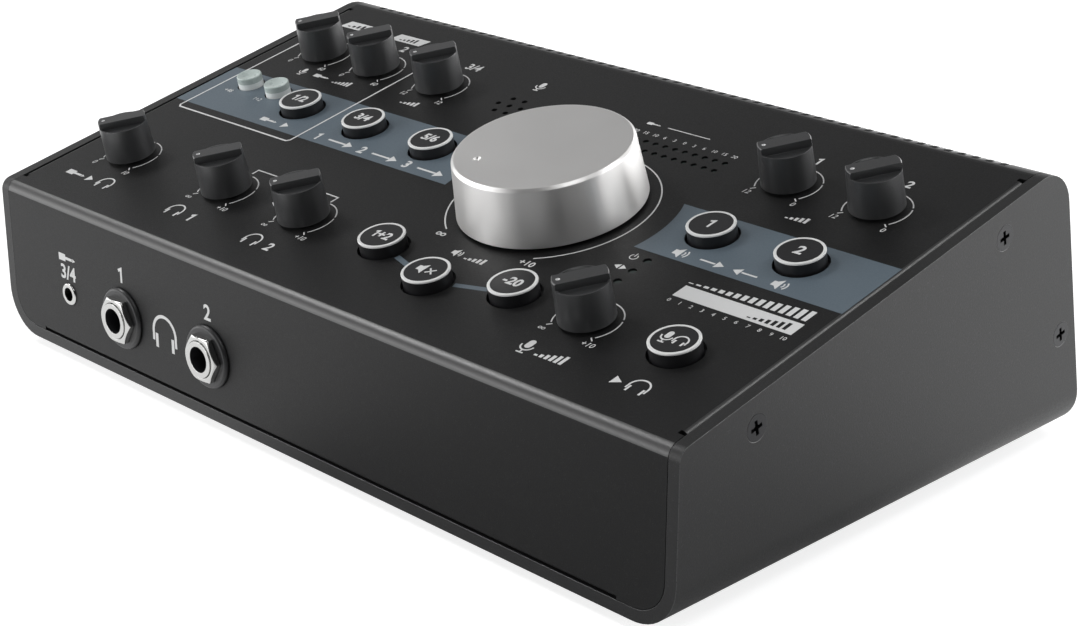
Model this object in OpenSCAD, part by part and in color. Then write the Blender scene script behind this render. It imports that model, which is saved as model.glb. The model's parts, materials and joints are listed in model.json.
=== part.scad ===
// Desktop monitor controller: a sloped sheet-metal case in two shells, a big volume knob,
// nine small knobs, nine lit push buttons, two latching buttons and its jacks.
// X runs along the front, Y to the back and Z up. The feet stand on z = 0.

/* [Case] */
// Width over the two side plates
case_w = 240; // [237:1:250]
// Depth along the bottom
case_d = 146.6; // [145:0.2:152]
// Height of the front face, up to the sharp corner of its bend
front_h = 41; // [40:0.2:44]
// Slope of the top panel, in degrees
slope = 13.2; // [12.4:0.1:14]
// Thickness of the base tray
tray_t = 3; // [2.4:0.1:3.2]
// Outer radius of the tray's two long bends
tray_r = 11.6; // [9:0.2:13]
// Thickness of the wrapped panel
panel_t = 1.5; // [1.2:0.1:1.8]
// Gap between the panel's edges and the tray
panel_gap = 0.15; // [0.1:0.05:0.3]
// Outer radius of the front bend
front_r = 3.2; // [2.4:0.2:4.4]
// Outer radius of the rear bend
rear_r = 10; // [7:0.5:12]

/* [Flanges] */
// Outer radius of the small bends that turn the flanges in
flange_r = 1.4; // [0.9:0.1:1.5]
// How far the flanges reach in from the panel's face
flange_reach = 12; // [10.5:0.5:13]
// Start of the side flanges, from the front corner
flange_start = 6; // [4.5:0.5:8]
// Distance from the rear face to the end of the side flanges
flange_end = 13; // [11.5:0.5:15]
// Distance of the bottom flanges' ends from the sides
bottom_flange_inset = 16; // [15:1:20]
// Width of the relief notch at the end of a side flange
relief_w = 1.2; // [0.8:0.1:1.6]

/* [Vents] */
// Distance between the vent slots
vent_pitch = 3.84; // [3.4:0.02:4.6]
// Width of a vent slot
vent_w = 1.7; // [1.2:0.1:2.2]
// How far the slots come forward of the rear face
vent_reach = 7.8; // [6:0.2:9.5]
// How far the slots run down the rear face
vent_drop = 15; // [12:0.5:17]

/* [Case screws] */
// Radius of the screws' thread
screw_r = 1.5; // [1.3:0.05:1.6]
// Radius of the countersunk heads
screw_head_r = 3; // [2.6:0.1:3.3]
// Height of the countersunk heads
screw_head_t = 1.7; // [1.4:0.1:2]
// Length of the case screws
screw_len = 6.2; // [5.5:0.1:6.6]
// Clearance round a screw
screw_fit = 0.08; // [0.05:0.01:0.15]
// Width of a slot of the cross recess
recess_w = 0.9; // [0.7:0.1:1.1]
// Length of the cross recess
recess_len = 3.4; // [2.8:0.1:3.8]
// Distance of the side screws below the top panel
side_screw_drop = 7.1; // [6.4:0.1:7.6]
// Distance of the front side screws from the front corner
side_screw_front = 21.8; // [18:0.2:26]
// Distance of the upper rear side screws from the rear face
side_screw_back = 25.5; // [22:0.5:30]
// Distance of the lower rear side screws from the rear face
side_screw_inset = 5.9; // [5:0.1:6.8]
// Distance of the lower rear side screws below the top panel
side_screw_low = 42.9; // [38:0.5:48]
// Distance between the bottom screws along the case
bottom_screw_pitch = 80; // [70:1:90]
// Distance of the bottom screws from the front and rear faces
bottom_screw_inset = 7; // [6:0.2:8]

/* [Feet] */
// Radius of the rubber feet
foot_r = 7; // [5.5:0.5:9]
// Height of the rubber feet
foot_h = 2.5; // [2:0.1:3]
// Distance of the feet from the sides
foot_side = 25; // [22:0.5:30]
// Distance of the feet from the front and back edges
foot_end = 22; // [19:0.5:28]

/* [Control rows] */
// Distance of the front row from the front corner, along the slope
row_front = 27; // [26:0.2:28.5]
// Distance of the middle row of buttons
row_mid = 68.2; // [66:0.2:70]
// Distance of the back row of knobs
row_back = 95.4; // [94.6:0.2:96.4]
// Column of the first gain knob and the direct monitor knob
col_gain_1 = -97.6; // [-98.2:0.2:-97]
// Column of the second gain knob and the first source button
col_gain_2 = -75.3; // [-77:0.1:-74]
// Column of the third source's knob and button
col_source = -49.5; // [-51:0.1:-48]
// Column of the last source button
col_usb = -23.5; // [-25:0.1:-22.4]
// Column of the first headphone knob
col_phones_1 = -56.2; // [-58:0.1:-54]
// Column of the second headphone knob
col_phones_2 = -25.5; // [-27:0.1:-24]
// Column of the first speaker pair and the talkback knob
col_main = 69.9; // [69:0.1:71]
// Column of the second speaker pair and the cue button
col_second = 95.2; // [94:0.1:95.8]

/* [Volume knob] */
// Place of the volume knob along the front
volume_x = 25.7; // [24.5:0.1:27]
// Place of the volume knob along the slope
volume_s = 61.8; // [61:0.2:63]
// Radius at its foot
volume_r = 23.1; // [21:0.1:24.5]
// Radius at the top edge
volume_top_r = 21.9; // [20:0.1:22.8]
// Height of its top above the panel
volume_h = 15.4; // [14:0.2:18]
// Size of the chamfer round the top
volume_chamfer = 0.7; // [0.4:0.1:1.2]
// Wall of its skirt
volume_wall = 2; // [1.5:0.1:2.6]
// Gap under the knobs
knob_gap = 0.8; // [0.6:0.1:1.2]
// Radius of the pointer dimple
dimple_r = 1.1; // [0.8:0.1:1.5]
// Distance of the pointer dimple from the middle
dimple_at = 15.7; // [13:0.1:18]
// Angle that the volume knob turns through, in degrees
volume_turn = 284; // [270:1:300]

/* [Small knobs] */
// Radius at the foot
knob_r = 6.9; // [6.4:0.1:7.3]
// Radius at the top
knob_top_r = 6.25; // [5.9:0.05:6.4]
// Height of the grip's top above the panel
knob_h = 11.3; // [10.8:0.1:14]
// Thickness of the raised grip
grip_t = 4.2; // [3:0.1:4.6]
// Height of the grip above the rim
grip_rise = 1.5; // [1:0.1:1.8]
// Width of the rim round the hollows beside the grip
rim_w = 0.35; // [0.2:0.05:0.6]
// Depth of the hollows below the rim
hollow_depth = 0.5; // [0.2:0.1:0.7]
// Radius of the hollows' curved floor
hollow_r = 8; // [6:0.5:12]
// Radius of the pointer dimple in the grip
knob_dimple_r = 0.55; // [0.4:0.05:0.7]
// Distance of the pointer dimple from the middle
knob_dimple_at = 4.8; // [4:0.1:5.2]
// Angle that a small knob turns through, in degrees
knob_turn = 287; // [270:1:300]

/* [Shafts] */
// Radius of the pots' shafts
shaft_r = 3; // [2.8:0.1:3.1]
// Height of the flat on a shaft, from its axis
shaft_flat = 1.5; // [1.2:0.1:1.9]
// Running clearance round a shaft
shaft_fit = 0.06; // [0.04:0.01:0.08]
// Clearance between a shaft and its knob
knob_fit = 0.03; // [0.02:0.01:0.05]
// Clearance between a shaft's collar and its hole in the panel
collar_fit = 0.35; // [0.25:0.05:0.6]

/* [Buttons] */
// Radius of the round caps
cap_r = 5.75; // [5.4:0.05:6]
// Height of the caps above the panel
cap_h = 3.1; // [2.6:0.1:3.6]
// Gap round the caps in the panel
cap_gap = 0.65; // [0.5:0.05:0.8]
// Width of the light ring's groove round the top
ring_w = 0.7; // [0.5:0.1:1]
// Travel of a button
cap_travel = 1; // [0.7:0.1:1.2]
// Width of the cap's hidden flange
cap_flange = 0.8; // [0.6:0.1:1]
// Radius of a button's stem
stem_r = 1.6; // [1.4:0.1:1.8]
// Place of the mono button along the front
mono_x = 3.8; // [2.4:0.2:5]
// Place of the mute button along the front
mute_x = 25.7; // [24.5:0.1:27]
// Place of the dim button along the front
dim_x = 47.6; // [46.4:0.2:48.4]
// Place of the mute button along the slope
mute_s = 20.9; // [20:0.1:22]

/* [Latching buttons] */
// Place of the first latching button
latch_x = -102; // [-103.4:0.2:-101]
// Distance between the two latching buttons
latch_pitch = 12; // [11.4:0.2:12.6]
// Place along the slope
latch_s = 71.8; // [70:0.2:74]
// Radius of the caps
latch_r = 3.5; // [3:0.05:3.8]
// Height of the caps above the panel
latch_h = 3.3; // [2.6:0.1:3.8]
// Depth of the dished top
latch_dish = 0.6; // [0.3:0.1:0.8]
// Travel of a latching button
latch_travel = 1.5; // [1:0.1:1.7]

/* [Lights and microphone] */
// Columns of the level meter
meter_n = 12; // [8:1:12]
// Distance between the meter's lights
meter_pitch = 3.18; // [3:0.02:3.3]
// Place of the meter's last column
meter_end = 49.6; // [49:0.1:51]
// Upper row of the meter
meter_s = 96.5; // [95.5:0.1:98]
// Distance between the meter's rows
meter_gap = 4.1; // [3.6:0.1:4.6]
// Radius of the meter's holes
meter_r = 0.8; // [0.6:0.05:0.95]
// Place of the status lights along the front
status_x = 64.3; // [63.4:0.1:65]
// Place of the upper status light
status_s = 52.4; // [51:0.1:53]
// Distance between the status lights
status_pitch = 4.95; // [4.4:0.05:5.2]
// Radius of the status lights' holes
status_r = 1.05; // [0.8:0.05:1.3]
// Clearance round a light in its hole
light_fit = 0.12; // [0.08:0.02:0.2]
// Place of the microphone along the front
mic_x = -22.9; // [-24:0.1:-22]
// Distance between the microphone's holes
mic_pitch = 4.1; // [3.6:0.1:4.2]
// Radius of the microphone's holes
mic_hole_r = 0.8; // [0.6:0.05:1]
// Radius of the microphone capsule
mic_r = 4.85; // [4.6:0.05:5.2]

/* [Front jacks] */
// Place of the mini jack
mini_x = -90.8; // [-92:0.2:-89]
// Place of the first headphone jack
phone_x = -66.8; // [-68:0.2:-65]
// Distance between the headphone jacks
phone_pitch = 35.6; // [33:0.2:37]
// Height of the front jacks above the tray's underside
jack_z = 16.7; // [16.2:0.1:17.6]
// Radius of a headphone jack's bore
bore_r = 3.25; // [3.2:0.01:3.3]
// Radius of a jack's threaded nose
nose_r = 4.6; // [4.3:0.1:4.8]
// How far the nose stands out of the panel
nose_out = 3.3; // [3:0.1:3.8]
// Radius of the black collar
collar_r = 8.05; // [7.2:0.05:8.5]
// Thickness of the black collar
collar_t = 1.2; // [0.9:0.1:1.5]
// Width of a jack nut across its flats
nut_af = 11.1; // [10.6:0.1:11.8]
// Thickness of a jack nut
nut_t = 1.8; // [1.5:0.1:1.9]
// Clearance round a nose in its hole, nut and collar
nose_fit = 0.1; // [0.06:0.02:0.2]
// Depth of a jack's body behind the panel
jack_len = 29; // [28:0.5:31]
// Width of a jack's body
jack_w = 15; // [14:0.5:16]
// Radius of the mini jack's bore
mini_bore_r = 1.8; // [1.76:0.01:1.84]
// Radius of the mini jack's barrel
mini_r = 2.95; // [2.6:0.05:3.2]
// How far the mini jack's barrel stands out
mini_out = 0.5; // [0.3:0.1:0.9]

/* [Rear sockets] */
// Distance of the line jacks' axes below the top panel
line_drop = 40.4; // [39.8:0.2:41]
// Columns of the six line jacks
line_cols = [-42.5, -25.5, -5.5, 11.5, 31.5, 48.5];
// Columns of the two combination sockets
combo_cols = [-96, -66];
// Radius of a combination socket's face
combo_r = 11.6; // [11:0.1:12]
// Width of a combination socket's body
combo_w = 26.4; // [25.5:0.1:27.5]
// Place of the data socket
data_x = 70; // [68:0.5:72]
// Width of the data socket's shell
data_w = 12; // [11.4:0.2:12.6]
// Height of the data socket's shell
data_h = 11; // [10.4:0.2:11.6]
// Place of the power inlet
inlet_x = 87; // [86:0.5:88]
// Width of the power inlet's body
inlet_w = 9; // [8.6:0.2:9.6]
// Radius of the power inlet's opening
inlet_r = 3.1; // [2.9:0.05:3.3]
// Radius of the power inlet's pin
pin_r = 1.05; // [0.9:0.05:1.2]
// Place of the power button
power_x = 103; // [102:0.5:103.5]
// Width of the power button
power_w = 7; // [6.4:0.2:7.6]
// How far the power button stands out
power_out = 3; // [2.6:0.1:3.6]
// Travel of the power button
power_travel = 2; // [1.5:0.1:2.2]

/* [Boards] */
// Thickness of the circuit boards
board_t = 1.6; // [1.2:0.1:1.8]
// Depth of the control board's top below the top panel
control_drop = 10; // [9.8:0.1:10.4]
// Depth of the main board's top below the line jacks' axes
main_under = 7.6; // [7.5:0.1:8]
// Length of the main board, from the rear face
main_len = 44; // [43:0.5:48]
// Distance of the boards' edges from the side plates
board_side = 6; // [5.6:0.1:7]
// Radius of the board screws' thread
stud_r = 1.45; // [1.3:0.05:1.5]
// Radius of the standoffs
standoff_r = 3; // [2.7:0.1:3.2]
// Radius of the board screws' heads
board_head_r = 2.7; // [2.4:0.1:2.9]

/* [Hidden] */

$fn = 64;
// A cut runs this far past the face it starts from
over = 1;
// Length of the top panel along the slope, up to the rear face
top_len = case_d * cos(slope) - front_h * sin(slope);
// Y of the case's front face: the jacks' noses and the rear edge end at equal distances
face_y = (nose_out - case_d) / 2;
// End of the side flanges along the slope
side_flange_end = top_len - flange_end;
// Half width of the wrapped panel
panel_half = case_w / 2 - tray_t - panel_gap;
// Half length of the flanges along the bottom edges
bottom_flange_half = case_w / 2 - bottom_flange_inset;
// Z of the panel's lower edges above the tray's underside
panel_z = tray_t + panel_gap;
// Half length of the row of vents
vent_half = panel_half - flange_r - vent_pitch * 1.5;
// Middles of the front and rear bends, in the YZ plane
front_mid = [front_r, front_h + front_r * tan(slope) - front_r / cos(slope)];
rear_mid = slope_point(top_len - rear_r, -rear_r);
// Places of the knobs and buttons on the panel: along the front and along the slope
place_gain_1 = [column(col_gain_1), row_back];
place_gain_2 = [column(col_gain_2), row_back];
place_source_trim = [column(col_source), row_back];
place_direct = [column(col_gain_1), row_front];
place_phones_1 = [column(col_phones_1), row_front];
place_phones_2 = [column(col_phones_2), row_front];
place_trim_a = [column(col_main), row_back];
place_trim_b = [column(col_second), row_back];
place_talkback = [column(col_main), row_front];
place_volume = [column(volume_x), volume_s];
knob_places = [place_gain_1, place_gain_2, place_source_trim, place_direct, place_phones_1,
    place_phones_2, place_trim_a, place_trim_b, place_talkback];
place_source_1 = [column(col_gain_2), row_mid];
place_source_2 = [column(col_source), row_mid];
place_source_3 = [column(col_usb), row_mid];
place_mono = [column(mono_x), row_front];
place_mute = [column(mute_x), mute_s];
place_dim = [column(dim_x), row_front];
place_out_a = [column(col_main), row_mid];
place_out_b = [column(col_second), row_mid];
place_cue = [column(col_second), row_front];
button_places = [place_source_1, place_source_2, place_source_3, place_mono, place_mute,
    place_dim, place_out_a, place_out_b, place_cue];
latch_places = [for (i = [0, 1]) [column(latch_x + i * latch_pitch), latch_s]];
meter_places = [for (i = [0:meter_n - 1], k = [0, 1])
    [column(meter_end) - i * meter_pitch, meter_s - k * meter_gap]];
status_places = [for (i = [0:2]) [column(status_x), status_s - i * status_pitch]];
mic_place = [column(mic_x), row_back];
mic_holes = concat([mic_place],
    [for (a = [0:60:300]) mic_place + mic_pitch * [cos(a), sin(a)]]);
mini_place = column(mini_x);
phone_places = [for (i = [0, 1]) column(phone_x + i * phone_pitch)];
// Places of the rear sockets along the rear
line_places = [for (x = line_cols) column(x)];
combo_places = [for (x = combo_cols) column(x)];
data_place = column(data_x);
inlet_place = column(inlet_x);
power_place = column(power_x);
// Side screws: distance along the slope and depth below the panel
side_screw_places = [[side_screw_front, -side_screw_drop],
    [top_len - side_screw_back, -side_screw_drop],
    [top_len - side_screw_inset, -side_screw_low]];
bottom_screw_xs = [for (i = [-1:1]) i * column(bottom_screw_pitch)];
// Turn of a knob at rest, from twelve o'clock: fully anticlockwise
knob_rest = knob_turn / 2;
volume_rest = volume_turn / 2;
// Height of the room under a small knob's top
knob_roof = knob_h - grip_rise - hollow_depth - 2;
// The collar of a pot round its shaft, and its hole in the panel
pot_collar_r = shaft_r + 0.6;
pot_hole_r = pot_collar_r + collar_fit;
// The volume pot's threaded collar, its washer and its nut
volume_collar_r = shaft_r + 1.4;
volume_nut_t = 2;
volume_washer_t = 0.5;
volume_nut_af = 12;
volume_collar_top = volume_washer_t + volume_nut_t + 0.3;
// The volume pot's body, and how far it reaches towards the front from its shaft
volume_pot_w = 17;
volume_pot_len = 19;
volume_pot_front = 10;
// Depths of the boards below the panel
control_top = -control_drop;
control_under = control_top - board_t;
main_top = -line_drop - main_under;
board_half = case_w / 2 - board_side;
control_front = 6;
control_back = top_len - 12.4;
// Standoffs under the panel: three at the front, three that carry spacers, two at the back
standoff_x = board_half - 5.5;
// The spacers stand half way between the main board's front edge and the jacks' bodies
standoff_mid_s = top_len - (main_len + panel_t + jack_len) / 2;
screwed_places = [[-standoff_x, control_front + 5], [0, control_front + 5],
    [standoff_x, control_front + 5], [-standoff_x, control_back - 4], [standoff_x, control_back - 4]];
spacer_places = [[-standoff_x, standoff_mid_s], [-3, standoff_mid_s], [standoff_x, standoff_mid_s]];
// The front board under the front jacks
front_board_top = jack_z - jack_w / 2;
front_board_side = 12;
front_board_back = 11;
front_board_x = [mini_place - front_board_side, phone_places[1] + jack_w];
front_board_y = [panel_t + 1, jack_len + front_board_back];
front_board_holes = [for (x = [front_board_x[0] + 4, front_board_x[1] - 4],
    y = [17, front_board_y[1] - 4]) [x, y]];
// Hole in a board round a screw, and the depth of a threaded hole in a standoff
board_hole_r = stud_r + 0.15;
thread_r = stud_r + 0.05;
thread_depth = 5;
board_head_t = 1.8;
// The caps' flange lies this far under the panel at rest
flange_play = 0.3;
flange_t = 1;
cap_hole_r = cap_r + cap_gap;
cap_flange_r = cap_hole_r + cap_flange;
latch_hole_r = latch_r + 0.4;
latch_flange_r = latch_hole_r + 0.8;
// Thickness of the wall at the inner end of a phone plug's bore
jack_end = 1.5;
// The mini jack's body, and the wall at its bore's inner end
mini_w = 6.4;
mini_len = 13;
mini_end = 1;
// Bodies of the switches on the control board
switch_w = 7.3;
switch_h = 4;
latch_switch_w = 8;
latch_switch_h = 4.4;
stem_reach = 2;
stem_fit = 0.15;
// Bodies of the pots on the control board
pot_w = 11;
pot_body_top = -3.6;
shaft_foot = control_top + 1.5;
// The power switch behind the rear panel
power_body_w = power_w + 4;
power_body_len = 12;
power_gap = 0.4;
// The data socket's shell and tongue
data_wall = 1.6;
data_len = 16;
socket_gap = 0.2;
inlet_len = 13;
combo_len = 22;
combo_out = 0.8;

// A column's place along the front: the columns are drawn 240 wide and spread with the case
function column(x) = x * case_w / 240;
// A point of the YZ plane from the distance along the slope and the height above the panel
function slope_point(s, h) =
    [s * cos(slope) - h * sin(slope), front_h + s * sin(slope) + h * cos(slope)];
// The rear face, moved in by a distance, at a height above the tray's underside
function rear_y(inset, z) =
    ((top_len - inset) + (front_h - z) * sin(slope)) / cos(slope);

// The case's own frame: its front lower edge at the origin, on the feet
module in_case() {
    translate([0, face_y, foot_h]) children();
}

// A place on the top panel: x along the front, s along the slope, h above the face
module on_top(x, s, h = 0) {
    in_case() translate([0, 0, front_h]) rotate([slope, 0, 0]) translate([x, s, h]) children();
}

// A place on the front face, z pointing out of it
module on_front(x, z) {
    in_case() translate([x, 0, z]) rotate([90, 0, 0]) children();
}

// A place on the rear face, z pointing out of it and y down the face
module on_rear(x, drop) {
    on_top(x, top_len, -drop) rotate([-90, 0, 0]) children();
}

// A place on a side face, z pointing out of it
module on_side(side, s, h) {
    on_top(side * case_w / 2, s, h) rotate([0, side * 90, 0]) children();
}

// What a round corner takes off: all that lies past its arc, between two directions
module corner_cut(middle, r, from, to) {
    a = 2 * r * [cos(from), sin(from)];
    b = 2 * r * [cos(to), sin(to)];
    translate(middle) difference() {
        polygon([[0, 0], a, a + b, b]);
        circle(r);
    }
}

// Side outline of the case, moved in by a distance, from a height upwards
module side_outline(inset, z) {
    front_top = [inset, front_h + inset * tan(slope) - inset / cos(slope)];
    difference() {
        polygon([[inset, z], front_top, slope_point(top_len - inset, -inset), [rear_y(inset, z), z]]);
        corner_cut(front_mid, front_r - inset, 180, 90 + slope);
        corner_cut(rear_mid, rear_r - inset, 90 + slope, slope);
    }
}

// The outline drawn across the case
module across(half) {
    rotate([90, 0, 90]) linear_extrude(2 * half, center = true) children();
}

// Front view of a tub with round lower corners
module tub_outline(half, r, z) {
    difference() {
        translate([-half, z]) square([2 * half, front_h + top_len]);
        corner_cut([half - r, z + r], r, 0, -90);
        corner_cut([-half + r, z + r], r, 180, -90);
    }
}

// The tub drawn from the front to the back of the case
module along(from, to) {
    translate([0, to, 0]) rotate([90, 0, 0]) linear_extrude(to - from) children();
}

// A countersunk screw with its head's face at z = 0, pointing down
module flush_screw() {
    difference() {
        union() {
            translate([0, 0, -screw_head_t]) cylinder(h = screw_head_t, r1 = screw_r, r2 = screw_head_r);
            translate([0, 0, -screw_len]) cylinder(h = screw_len - screw_head_t, r = screw_r);
        }
        for (a = [0, 90]) rotate(a) translate([-recess_len / 2, -recess_w / 2, -1.2])
            cube([recess_len, recess_w, 1.2 + over]);
    }
}

// The countersunk hole for it
module flush_hole(depth) {
    translate([0, 0, -screw_head_t - screw_fit])
        cylinder(h = screw_head_t + screw_fit, r1 = screw_r + screw_fit, r2 = screw_head_r + screw_fit);
    translate([0, 0, -depth]) cylinder(h = depth + over, r = screw_r + screw_fit);
}

// The hole in the flange that the screw is driven into
module tapped_hole() {
    translate([0, 0, -screw_len - over]) cylinder(h = screw_len, r = screw_r + screw_fit);
}

// The places of the side screws and bottom screws
module at_side_screws() {
    for (side = [-1, 1], p = side_screw_places) on_side(side, p[0], p[1]) children();
}

module at_bottom_screws() {
    for (x = bottom_screw_xs, y = [bottom_screw_inset, rear_y(0, 0) - bottom_screw_inset])
        in_case() translate([x, y, 0]) rotate([180, 0, 0]) children();
}

// Base tray: bottom and both side plates in one bent piece
module base_tray() {
    color("#37383a") difference() {
        in_case() intersection() {
            along(-over, case_d + over) difference() {
                tub_outline(case_w / 2, tray_r, 0);
                tub_outline(case_w / 2 - tray_t, tray_r - tray_t, tray_t);
            }
            across(case_w) side_outline(0, 0);
        }
        at_side_screws() flush_hole(tray_t + over);
        at_bottom_screws() flush_hole(tray_t + over);
    }
}

// The cutter that rounds a sharp edge: it runs along z, with the solid in x < 0, y < 0
module edge_round(len) {
    translate([-flange_r, -flange_r, 0]) difference() {
        cube([flange_r + over, flange_r + over, len]);
        translate([0, 0, -over]) cylinder(h = len + 2 * over, r = flange_r);
    }
}

// A vent slot over the rear bend, with a round lower end
module vent_slot(x) {
    on_top(x - vent_w / 2, top_len - vent_reach, -vent_drop)
        cube([vent_w, vent_reach + over, vent_drop + over]);
    on_rear(x, vent_drop) translate([0, 0, -panel_t - over])
        cylinder(h = panel_t + 2 * over, r = vent_w / 2);
}

// The panel's bent sheet before its holes
module panel_sheet() {
    in_case() intersection() {
        across(panel_half) difference() {
            side_outline(0, panel_z);
            side_outline(panel_t, -over);
        }
        along(-over, case_d + over)
            tub_outline(panel_half, tray_r - tray_t - panel_gap, panel_z);
    }
}

// The flanges that are turned in from the sheet
module panel_flanges() {
    sunk = panel_t / 2;
    for (side = [-1, 1]) mirror([side < 0 ? 1 : 0, 0, 0]) {
        on_top(panel_half - panel_t, flange_start, -flange_reach)
            cube([panel_t, side_flange_end - flange_start, flange_reach - sunk]);
        on_top(panel_half - panel_t, top_len - flange_reach, -side_screw_low - flange_reach / 2)
            cube([panel_t, flange_reach - sunk, flange_reach]);
    }
    in_case() for (y = [sunk, rear_y(sunk, panel_z) - flange_reach])
        translate([-bottom_flange_half, y, panel_z])
            cube([2 * bottom_flange_half, flange_reach, panel_t]);
}

// What the small bends and the relief notches take off the sheet's edges
module flange_bends() {
    for (side = [-1, 1]) mirror([side < 0 ? 1 : 0, 0, 0]) {
        on_top(panel_half, flange_start, 0) rotate([-90, 0, 0]) mirror([0, 1, 0])
            edge_round(side_flange_end - flange_start);
        for (s = [flange_start - relief_w, side_flange_end])
            on_top(panel_half - panel_t - relief_w / 4, s, -flange_reach - over)
                cube([panel_t + over, relief_w, flange_reach + 2 * over]);
        on_top(panel_half, top_len, -side_screw_low - flange_reach / 2) edge_round(flange_reach);
    }
    in_case() translate([-bottom_flange_half, 0, panel_z]) rotate([0, 90, 0])
        mirror([0, 1, 0]) edge_round(2 * bottom_flange_half);
}

// Wrapped panel: front face, sloped top and rear face in one bent sheet
module wrap_panel() {
    cut = panel_t + over;
    color("#232426") difference() {
        union() {
            panel_sheet();
            panel_flanges();
        }
        flange_bends();
        at_side_screws() tapped_hole();
        at_bottom_screws() tapped_hole();
        for (i = [-floor(vent_half / vent_pitch):floor(vent_half / vent_pitch)]) vent_slot(i * vent_pitch);
        for (p = knob_places) on_top(p[0], p[1], -cut) cylinder(h = cut + over, r = pot_hole_r);
        on_top(place_volume[0], place_volume[1], -cut)
            cylinder(h = cut + over, r = volume_collar_r + nose_fit);
        for (p = button_places) on_top(p[0], p[1], -cut) cylinder(h = cut + over, r = cap_hole_r);
        for (p = latch_places) on_top(p[0], p[1], -cut) cylinder(h = cut + over, r = latch_hole_r);
        for (p = meter_places) on_top(p[0], p[1], -cut) cylinder(h = cut + over, r = meter_r);
        for (p = status_places) on_top(p[0], p[1], -cut) cylinder(h = cut + over, r = status_r);
        for (p = mic_holes) on_top(p[0], p[1], -cut) cylinder(h = cut + over, r = mic_hole_r);
        for (x = phone_places) on_front(x, jack_z) translate([0, 0, -cut])
            cylinder(h = cut + over, r = nose_r + nose_fit);
        on_front(mini_place, jack_z) translate([0, 0, -cut])
            cylinder(h = cut + over, r = mini_r + nose_fit);
        for (x = line_places) on_rear(x, line_drop) translate([0, 0, -cut])
            cylinder(h = cut + over, r = nose_r + nose_fit);
        for (x = combo_places) on_rear(x, -main_top - combo_w / 2) translate([0, 0, -cut])
            cylinder(h = cut + over, r = combo_r + nose_fit);
        rear_window(data_place, data_w + 2 * socket_gap, data_h + 2 * socket_gap, -main_top - data_h / 2);
        rear_window(inlet_place, inlet_w + 2 * socket_gap, inlet_w + 2 * socket_gap,
            -main_top - inlet_w / 2);
        rear_window(power_place, power_w + 2 * power_gap, power_w + 2 * power_gap,
            -main_top - power_body_w / 2);
    }
}

// A rectangular window in the rear face
module rear_window(x, w, h, drop) {
    on_rear(x, drop) translate([-w / 2, -h / 2, -panel_t - over]) cube([w, h, panel_t + 2 * over]);
}

module side_screws() {
    color("#2e2f31") at_side_screws() flush_screw();
}

module bottom_screws() {
    color("#2e2f31") at_bottom_screws() flush_screw();
}

// Four round feet with a shallow dish underneath
module rubber_feet() {
    color("#191919") for (x = [-1, 1], y = [foot_end, case_d - foot_end]) in_case()
        translate([x * (case_w / 2 - foot_side), y, -foot_h]) difference() {
            cylinder(h = foot_h, r1 = foot_r - 0.5, r2 = foot_r);
            translate([0, 0, -over]) cylinder(h = 0.6 + over, r = foot_r - 2.5);
        }
}

// A board in the slope's frame, with screw holes
module slope_board(from, to, top, holes) {
    difference() {
        on_top(-board_half, from, top - board_t) cube([2 * board_half, to - from, board_t]);
        for (p = holes) on_top(p[0], p[1], top - board_t - over)
            cylinder(h = board_t + 2 * over, r = board_hole_r);
    }
}

module control_board() {
    color("#1f5a38") slope_board(control_front, control_back, control_top,
        concat(screwed_places, spacer_places));
}

module main_board() {
    color("#1f5a38") slope_board(top_len - main_len, top_len - panel_t - 0.3, main_top, spacer_places);
}

module front_board() {
    color("#1f5a38") in_case() difference() {
        translate([front_board_x[0], front_board_y[0], front_board_top - board_t])
            cube([front_board_x[1] - front_board_x[0], front_board_y[1] - front_board_y[0], board_t]);
        for (p = front_board_holes) translate([p[0], p[1], front_board_top - board_t - over])
            cylinder(h = board_t + 2 * over, r = board_hole_r);
    }
}

// Round standoffs pressed into the panel, threaded from below
module panel_standoffs() {
    color("#b9b9b4") for (p = concat(screwed_places, spacer_places)) on_top(p[0], p[1], control_top)
        difference() {
            cylinder(h = control_drop - panel_t, r = standoff_r);
            translate([0, 0, -over]) cylinder(h = thread_depth + over, r = thread_r);
        }
}

module tray_standoffs() {
    tall = front_board_top - board_t - tray_t;
    floor_t = 0.5;
    color("#b9b9b4") for (p = front_board_holes) in_case() translate([p[0], p[1], tray_t])
        difference() {
            cylinder(h = tall, r = standoff_r);
            translate([0, 0, floor_t]) cylinder(h = tall, r = thread_r);
        }
}

// Spacers that hang the main board under the control board, with a stud at the top
module board_spacers() {
    tall = control_under - main_top;
    color("#b9b9b4") for (p = spacer_places) on_top(p[0], p[1], main_top) difference() {
        union() {
            cylinder(h = tall, r = standoff_r, $fn = 6);
            cylinder(h = tall + board_t + thread_depth - 1, r = stud_r);
        }
        translate([0, 0, -over]) cylinder(h = thread_depth + over, r = thread_r);
    }
}

// A pan-head screw with its head's underside at z = 0, pointing down
module board_screw(len) {
    difference() {
        cylinder(h = board_head_t, r = board_head_r);
        for (a = [0, 90]) rotate(a) translate([-1.5, -0.4, board_head_t - 1]) cube([3, 0.8, 1 + over]);
    }
    translate([0, 0, -len]) cylinder(h = len, r = stud_r);
}

module board_screws() {
    len = board_t + thread_depth - 1.5;
    color("#c8c8c4") {
        for (p = screwed_places) on_top(p[0], p[1], control_under) rotate([180, 0, 0]) board_screw(len);
        for (p = spacer_places) on_top(p[0], p[1], main_top - board_t) rotate([180, 0, 0]) board_screw(len);
        for (p = front_board_holes) in_case() translate([p[0], p[1], front_board_top])
            board_screw(front_board_top - tray_t - 1);
    }
}

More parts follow.
